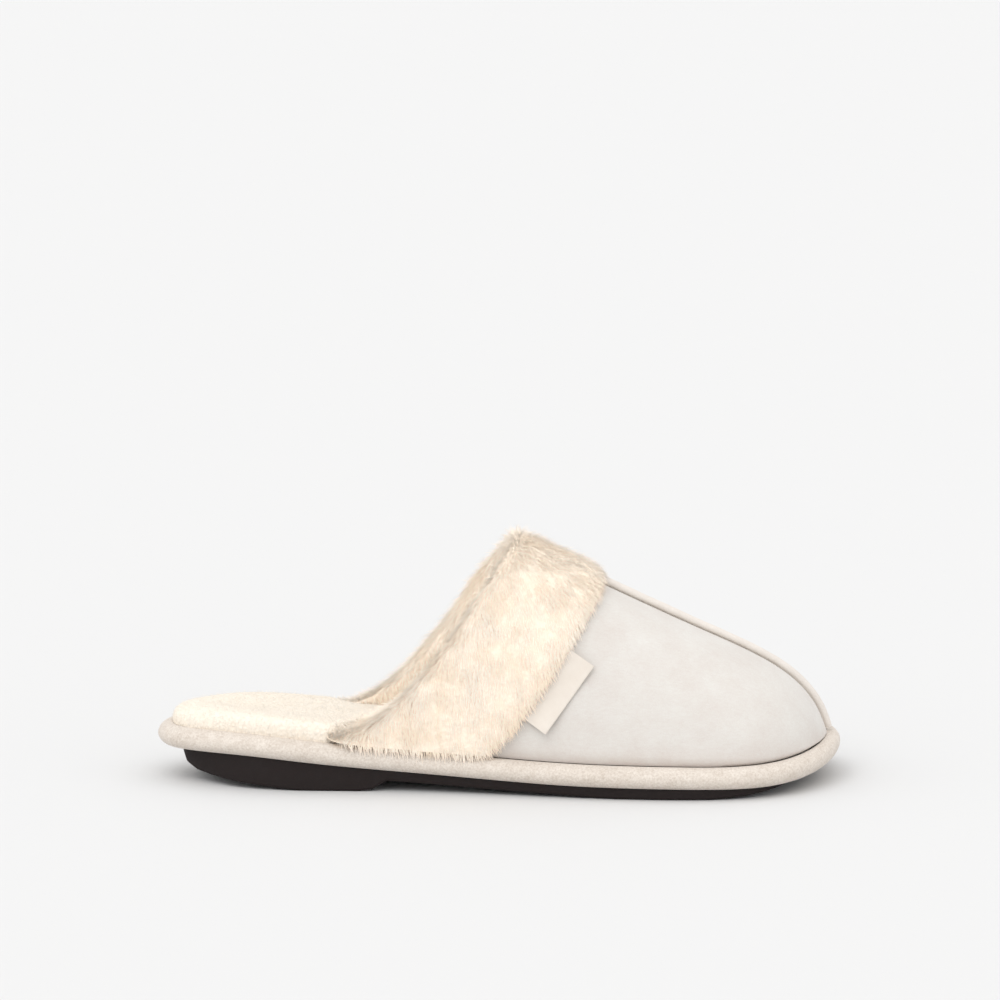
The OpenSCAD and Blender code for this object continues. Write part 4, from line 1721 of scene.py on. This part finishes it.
@dataclass(frozen=True)
class Stitching:
    """Rows of stitches laid along a path."""

    length: float = 2.3
    radius: float = 0.26
    pitch: float = 3.2

    @cached_property
    def tree(self) -> Planting:
        """The Geometry Nodes tree of a stitch row.

        Returns:
            The tree, which works on a mesh of edges.
        """
        kit = Planting("stitches")
        pitch, length = kit.number("Pitch", 0.003), kit.number("Length", 0.002)
        radius = kit.number("Radius", 0.0003)
        finish = kit.finish_input()
        curve = kit.add("GeometryNodeMeshToCurve", None, {0: kit.given.outputs[0]}).outputs[0]
        even = kit.add("GeometryNodeResampleCurve", {"mode": "LENGTH"}, {
            "Curve": curve, "Length": pitch}).outputs[0]
        tangent = kit.add("GeometryNodeInputTangent").outputs[0]
        turn = kit.add("FunctionNodeAxesToRotation", {"primary_axis": "X", "secondary_axis": "Z"}, {
            "Primary Axis": tangent, "Secondary Axis": (0.05, 0.1, 1.0)}).outputs[0]
        bead = kit.add("GeometryNodeMeshUVSphere", None, {"Segments": 6, "Rings": 5, "Radius": 1.0})
        size = kit.add("ShaderNodeCombineXYZ", None, {0: kit.wrap(length) * 0.5, 1: radius, 2: radius})
        stitch = kit.add("GeometryNodeTransform", None, {
            "Geometry": bead.outputs["Mesh"], "Scale": size.outputs[0]})
        row = kit.add("GeometryNodeInstanceOnPoints", None, {
            "Points": even, "Instance": stitch.outputs[0], "Rotation": turn})
        kit.end(row.outputs[0], finish)
        return kit

    def sew(self, name: str, path: Grid, node: str, finish: bpy.types.Material,
            closed: bool = False) -> None:
        """Sew a row of stitches.

        Args:
            name: Name of the piece.
            path: Points of the seam.
            node: CAD node that the row stands for.
            finish: Thread material.
            closed: Whether the path is a closed loop.
        """
        line = bpy.data.meshes.new(name + "_path")
        edges = [(i, i + 1) for i in range(len(path) - 1)] + ([(len(path) - 1, 0)] if closed else [])
        line.from_pydata((path * MM).tolist(), edges, [])
        piece = self.tree.run(name, line, {
            "Pitch": self.pitch * MM, "Length": self.length * MM, "Radius": self.radius * MM,
            "Finish": finish})
        settle(piece, [node])


@dataclass(frozen=True)
class Seams:
    """Thread of the feather, centre and cuff seams."""

    last: Last
    finishes: Finishes
    stitching: Stitching
    feather_inset: float = 0.75
    feather_drop: float = 0.6
    centre_end: float = 88.0
    centre_drop: float = 1.75
    cuff_set_in: float = 4.5
    cuff_height: float = 0.45

    def build(self) -> None:
        """Sew the three seams."""
        last = self.last
        loop = last.inset(last.feather + self.feather_inset)
        feather = np.column_stack([loop, last.joint_z(loop[:, 0]) - self.feather_drop])
        x = np.linspace(last.cuff_top_x + 1.5, self.centre_end, 60)
        centre = np.stack([x, last.centre_y(x), last.ridge_z(x) - self.centre_drop], 1)
        a = np.radians(np.linspace(-84, 84, 160))
        cuff = last.upper(last.cuff_x(last.height_share(a)) - self.cuff_set_in, a, -self.cuff_height, 1.0)
        for seam, path in (("feather", feather), ("centre", centre), ("cuff", cuff)):
            self.stitching.sew(f"{seam}_stitches", path, f"{seam}_seam_thread", self.finishes.thread,
                               closed=seam == "feather")


# ---------------------------------------------------------------- cuff


@dataclass(frozen=True)
class Cuff:
    """Fur band turned over the opening: a backing with underfur, and strands."""

    last: Last
    finishes: Finishes
    pile: Pile
    upper_t: float
    inside_lift: float
    pile_h: float = 6.0
    pile_in: float = 3.4
    roll_x: float = 5.0
    inner_reach: float = 16.0
    wool_share: float = 0.80  # height of the underfur, as a share of the pile
    root_share: float = 0.66  # height that the strands grow from
    strand: float = 5.0
    density: float = 2.9
    set_in: float = 2.6
    front_rows: float = 0.22  # places along the section, from the front edge to the inside
    inside_row: float = 0.58
    inside_rows: float = 0.12
    roll_row: float = 0.56
    roll_rows: float = 0.09
    cuts: tuple[float, ...] = (-90, -76, -62, -44, -20, 20, 44, 62, 76, 90)
    lumps: tuple[tuple[float, float, float], ...] = ((0.7, 6.5, 11.0), (0.35, 2.6, 3.0))

    def section(self, share: float) -> np.ndarray:
        """Section of the band's outside at a share of the pile's height.

        Args:
            share: 0 at the backing, 1 at the tips.

        Returns:
            Rows of reference, shift, depth and lift. Reference 0 is the front edge of
            the cuff and 1 the edge of the opening.
        """
        h, t, p = self.pile_h * share, self.upper_t, self.pile_in * share
        roll = 1.8 + (self.roll_x - 1.8) * share
        rows = [
            (0, -self.set_in, -0.8, 1), (0, -self.set_in, -0.8 - h * 0.5, 1),
            (0, -self.set_in - 2.5 * share, -0.9 - h * 0.84, 1),
            (0.35, 0, -0.9 - h * 0.85, 1), (0.7, 0, -0.9 - h * 0.85, 1), (1, 1.5, -0.9 - h * 0.75, 1),
            (1, -roll * 0.6, -0.6 - h * 0.35, 1.5), (1, -roll, t * 0.35, 2.5),
            (1, -roll * 0.7, t + 0.5 + p * 0.3, 4), (1, 1, t + 0.6 + p * 0.85, self.inside_lift),
            (1, self.inner_reach * 0.6, t + 0.6 + p * 0.85, self.inside_lift),
            (1, self.inner_reach, t + 0.6 + p * 0.6, self.inside_lift)]
        return Last.line(rows, 6)

    def grid(self, share: float, columns: int, low: float = -90.0, high: float = 90.0) -> Grid:
        """Grid of the band's outside.

        Args:
            share: 0 at the backing, 1 at the tips.
            columns: Steps round the foot.
            low: First angle from the ridge in degrees.
            high: Last angle.

        Returns:
            Rows from the front edge to the inside.
        """
        a = np.radians(np.linspace(low, high, columns + 1))
        c = self.last.height_share(a)
        rows = []
        for reference, shift, depth, lift in self.section(share):
            x = self.last.cuff_x(c) * (1 - reference) + self.last.opening_x(c) * reference + shift
            rows.append(self.last.upper(x, a, depth, lift))
        return np.array(rows)

    def backing(self) -> None:
        """Backing and dense underfur."""
        outer, inner = (self.grid(share, 170) for share in (self.wool_share, 0.0))
        normal = outward(outer)
        to_skin = (normal * (outer - inner)).sum(-1)
        normal = normal * (1 if to_skin.mean() > 0 else -1)
        edge = np.minimum(np.arange(len(outer)), np.arange(len(outer))[::-1])[:, None]
        lumps = sum(height * ripple(outer, size, seed) for height, size, seed in self.lumps)
        outer = outer + normal * (lumps * smooth(edge / 8))[..., None]
        piece = Solid.shell(outer, inner).piece("fur_cuff_backing", self.finishes.underfur, 70)
        settle(piece, ["fur_cuff"])

    def strands(self) -> None:
        """Strands, in patches round the foot."""
        for number, (low, high) in enumerate(zip(self.cuts, self.cuts[1:])):
            grid = self.grid(self.root_share, 44, low, high)
            rows = np.linspace(0, 1, len(grid))[:, None] * np.ones(grid.shape[1])
            forward = unit(-np.gradient(grid, axis=0))
            front = 1 - smooth(rows / self.front_rows)
            inside = smooth((rows - self.inside_row) / self.inside_rows)
            wanted = np.array([0.0, 0.0, -1.0]) * (0.85 - 0.2 * front)[..., None]
            wanted = wanted + forward * (0.15 + 0.65 * front - 0.35 * inside)[..., None]
            roll = np.exp(-((rows - self.roll_row) / self.roll_rows) ** 2)
            wanted = wanted * (1 - 0.25 * roll)[..., None]
            lengths = 1 + 0.1 * front - 0.1 * inside
            covers = 1 + 0.6 * front + 0.5 * roll
            surface = seed_mesh(f"fur_seed_{number}", [grid], lambda p, n: lay_down(n, wanted),
                                lambda p: lengths, lambda p: covers, self._heart(grid))
            self.pile.grow(f"fur_cuff_strands_{number}", surface, self.finishes.fur, length=self.strand,
                           density=self.density, lean=2.3, clump=8.0, gather=0.28, radius=0.11,
                           seed=11 + number, slot="fur", stray=0.5)

    def _heart(self, grid: Grid) -> np.ndarray:
        """Point of the backing that is nearest to the middle of a patch, which the patch turns away from."""
        inner = self.grid(0.0, 8).reshape(-1, 3)
        return inner[np.argmin(np.linalg.norm(inner - grid.reshape(-1, 3).mean(0), axis=1))]

    def build(self) -> None:
        """Build the band."""
        self.backing()
        self.strands()


# ---------------------------------------------------------------- side tab


@dataclass(frozen=True)
class SideTab:
    """Woven tape folded in two and caught in the cuff's front seam."""

    last: Last
    finishes: Finishes
    length: float = 32.0
    width: float = 7.5
    ply: float = 0.42
    split: float = 0.1
    caught: float = 3.6
    low_a: float = -80.0
    high_a: float = -57.0
    camber: float = 1.3
    waviness: float = 0.10
    blend_reach: float = 1.5
    steps: int = 24

    def frame(self) -> tuple[np.ndarray, np.ndarray, np.ndarray, np.ndarray]:
        """Place of the tab.

        Returns:
            The hinge point and the directions across, along and outward.
        """
        joint = next(j for j in frame["joints"] if j["child"] == Body.TAB.value)
        hinge = np.array(joint["pos_m"], float) / MM
        along = -np.array(joint["axis"], float)
        along /= np.linalg.norm(along)
        a = math.radians((self.low_a + self.high_a) / 2)
        around = self.last.upper(np.array([hinge[0] - 1, hinge[0] + 1]), a)
        out = np.cross(along, around[1] - around[0])
        out *= -math.copysign(1.0, out[1]) / np.linalg.norm(out)
        return hinge, np.cross(along, out), along, out

    def build(self) -> None:
        """Build the tape as one loop section swept along the seam."""
        hinge, across, along, out = self.frame()
        outer_h, inner_h = self.ply + self.split / 2, self.split / 2
        turn = np.linspace(np.pi / 2, -np.pi / 2, 9)
        reach = self.width - outer_h

        def section(radius: float) -> np.ndarray:
            """One side of the folded tape, from the caught end round the fold and back."""
            flat = np.linspace(-self.caught, reach, self.steps)
            fold = np.stack([reach + radius * np.cos(turn[1:-1]), radius * np.sin(turn[1:-1])], 1)
            upper = np.stack([flat, np.full(self.steps, radius)], 1)
            return np.concatenate([upper, fold, upper[::-1] * (1, -1)])

        v = np.linspace(-self.length / 2, self.length / 2, 50)
        grids = []
        for radius in (outer_h, inner_h):
            line = section(radius)
            u, w = line[:, 0][:, None], line[:, 1][:, None]
            share = v[None] / (self.length / 2)
            bow = self.camber * smooth((0.3 - share) / 1.3) * smooth(u / self.width + 0.1)
            lift = bow + self.waviness * np.sin(v[None] / 3.1 + 0.8) * smooth(u / self.width)
            flat = hinge + u[..., None] * across + v[None, :, None] * along
            grids.append(flat + (w + lift)[..., None] * out)
        piece = Solid.shell(*grids).piece("side_tab_tape", self.finishes.tape, 60)
        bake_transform(piece)
        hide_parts("tab_base", "side_tab")
        report(piece)


# ---------------------------------------------------------------- studio


@dataclass(frozen=True)
class Lamp:
    """Distant soft light, given by where it stands, its spread in degrees, its power and its colour."""

    name: str
    towards: tuple[float, float, float]
    spread: float
    power: float
    colour: tuple[float, float, float] = (1.0, 1.0, 1.0)

    def hang(self) -> None:
        """Put the light in the scene."""
        lamp = bpy.data.lights.new(self.name, "SUN")
        lamp.angle, lamp.energy, lamp.color = math.radians(self.spread), self.power, self.colour
        holder = linked(self.name, lamp)
        holder.rotation_euler = (-Vector(self.towards)).to_track_quat("-Z", "Y").to_euler()


@dataclass(frozen=True)
class Studio:
    """Pale floor, soft lights and the camera."""

    finishes: Finishes
    sensor: float = 36.0
    distance: float = 4.0
    elevation: float = 10.5
    frame_width: float = 0.3854
    aim: tuple[float, float, float] = (0.0002, 0.0, 0.1087)
    floor_size: float = 400.0
    sky_power: float = 0.8
    lamps: tuple[Lamp, ...] = (
        Lamp("key", (-0.3, -1.0, 1.25), 50.0, 0.92, (1.0, 0.995, 0.985)),
        Lamp("fill", (1.0, -0.8, 0.6), 80.0, 0.48, (0.985, 0.99, 1.0)),
        Lamp("back", (0.1, 1.0, 1.3), 80.0, 0.25),
        Lamp("heel_side", (-1.0, -0.35, 0.8), 80.0, 0.46))

    def floor(self) -> None:
        """Plain pale floor."""
        half = self.floor_size / 2
        mesh = bpy.data.meshes.new("studio_floor")
        corners = [(-half, -half, 0), (half, -half, 0), (half, half, 0), (-half, half, 0)]
        mesh.from_pydata(corners, [], [(0, 1, 2, 3)])
        mesh.materials.append(self.finishes.ground)
        linked("studio_floor", mesh)

    def sky(self) -> None:
        """Even pale light from all round."""
        world = bpy.data.worlds.new("studio_world")
        world.use_nodes = True
        kit = NodeKit(world.node_tree)
        ground = kit.add("ShaderNodeBackground", None, {
            "Color": (1.0, 1.0, 1.0, 1.0), "Strength": self.sky_power})
        kit.add("ShaderNodeOutputWorld", None, {"Surface": ground.outputs[0]})
        bpy.context.scene.world = world

    def camera(self) -> None:
        """Camera from the lateral side, a little above the slipper."""
        data = bpy.data.cameras.new("camera")
        data.lens, data.sensor_width = self.sensor * self.distance / self.frame_width, self.sensor
        data.clip_end = self.floor_size
        holder = linked("camera", data)
        tilt = math.radians(self.elevation)
        away = Vector((0.0, -math.cos(tilt), math.sin(tilt)))
        holder.location = Vector(self.aim) + self.distance * away
        holder.rotation_euler = (-away).to_track_quat("-Z", "Y").to_euler()
        bpy.context.scene.camera = holder

    def build(self) -> None:
        """Build the studio."""
        self.camera()
        self.floor()
        self.sky()
        for lamp in self.lamps:
            lamp.hang()
        bpy.context.scene.view_settings.view_transform = "Standard"


def main() -> None:
    """Build the slipper and its studio."""
    logging.basicConfig(level=logging.INFO, format="%(name)s: %(message)s", stream=sys.stdout)
    last, finishes, pile = Last(), Finishes(), Pile()
    Studio(finishes).build()
    Sole(last, finishes).build()
    footbed = Footbed(last, finishes)
    upper = Upper(last, finishes)
    upper.build()
    Cuff(last, finishes, pile, upper.total_t, footbed.foam_top + footbed.plush_t + 0.4).build()
    footbed.build(pile)
    Seams(last, finishes, Stitching()).build()
    SideTab(last, finishes).build()


if __name__ == "__main__":
    main()
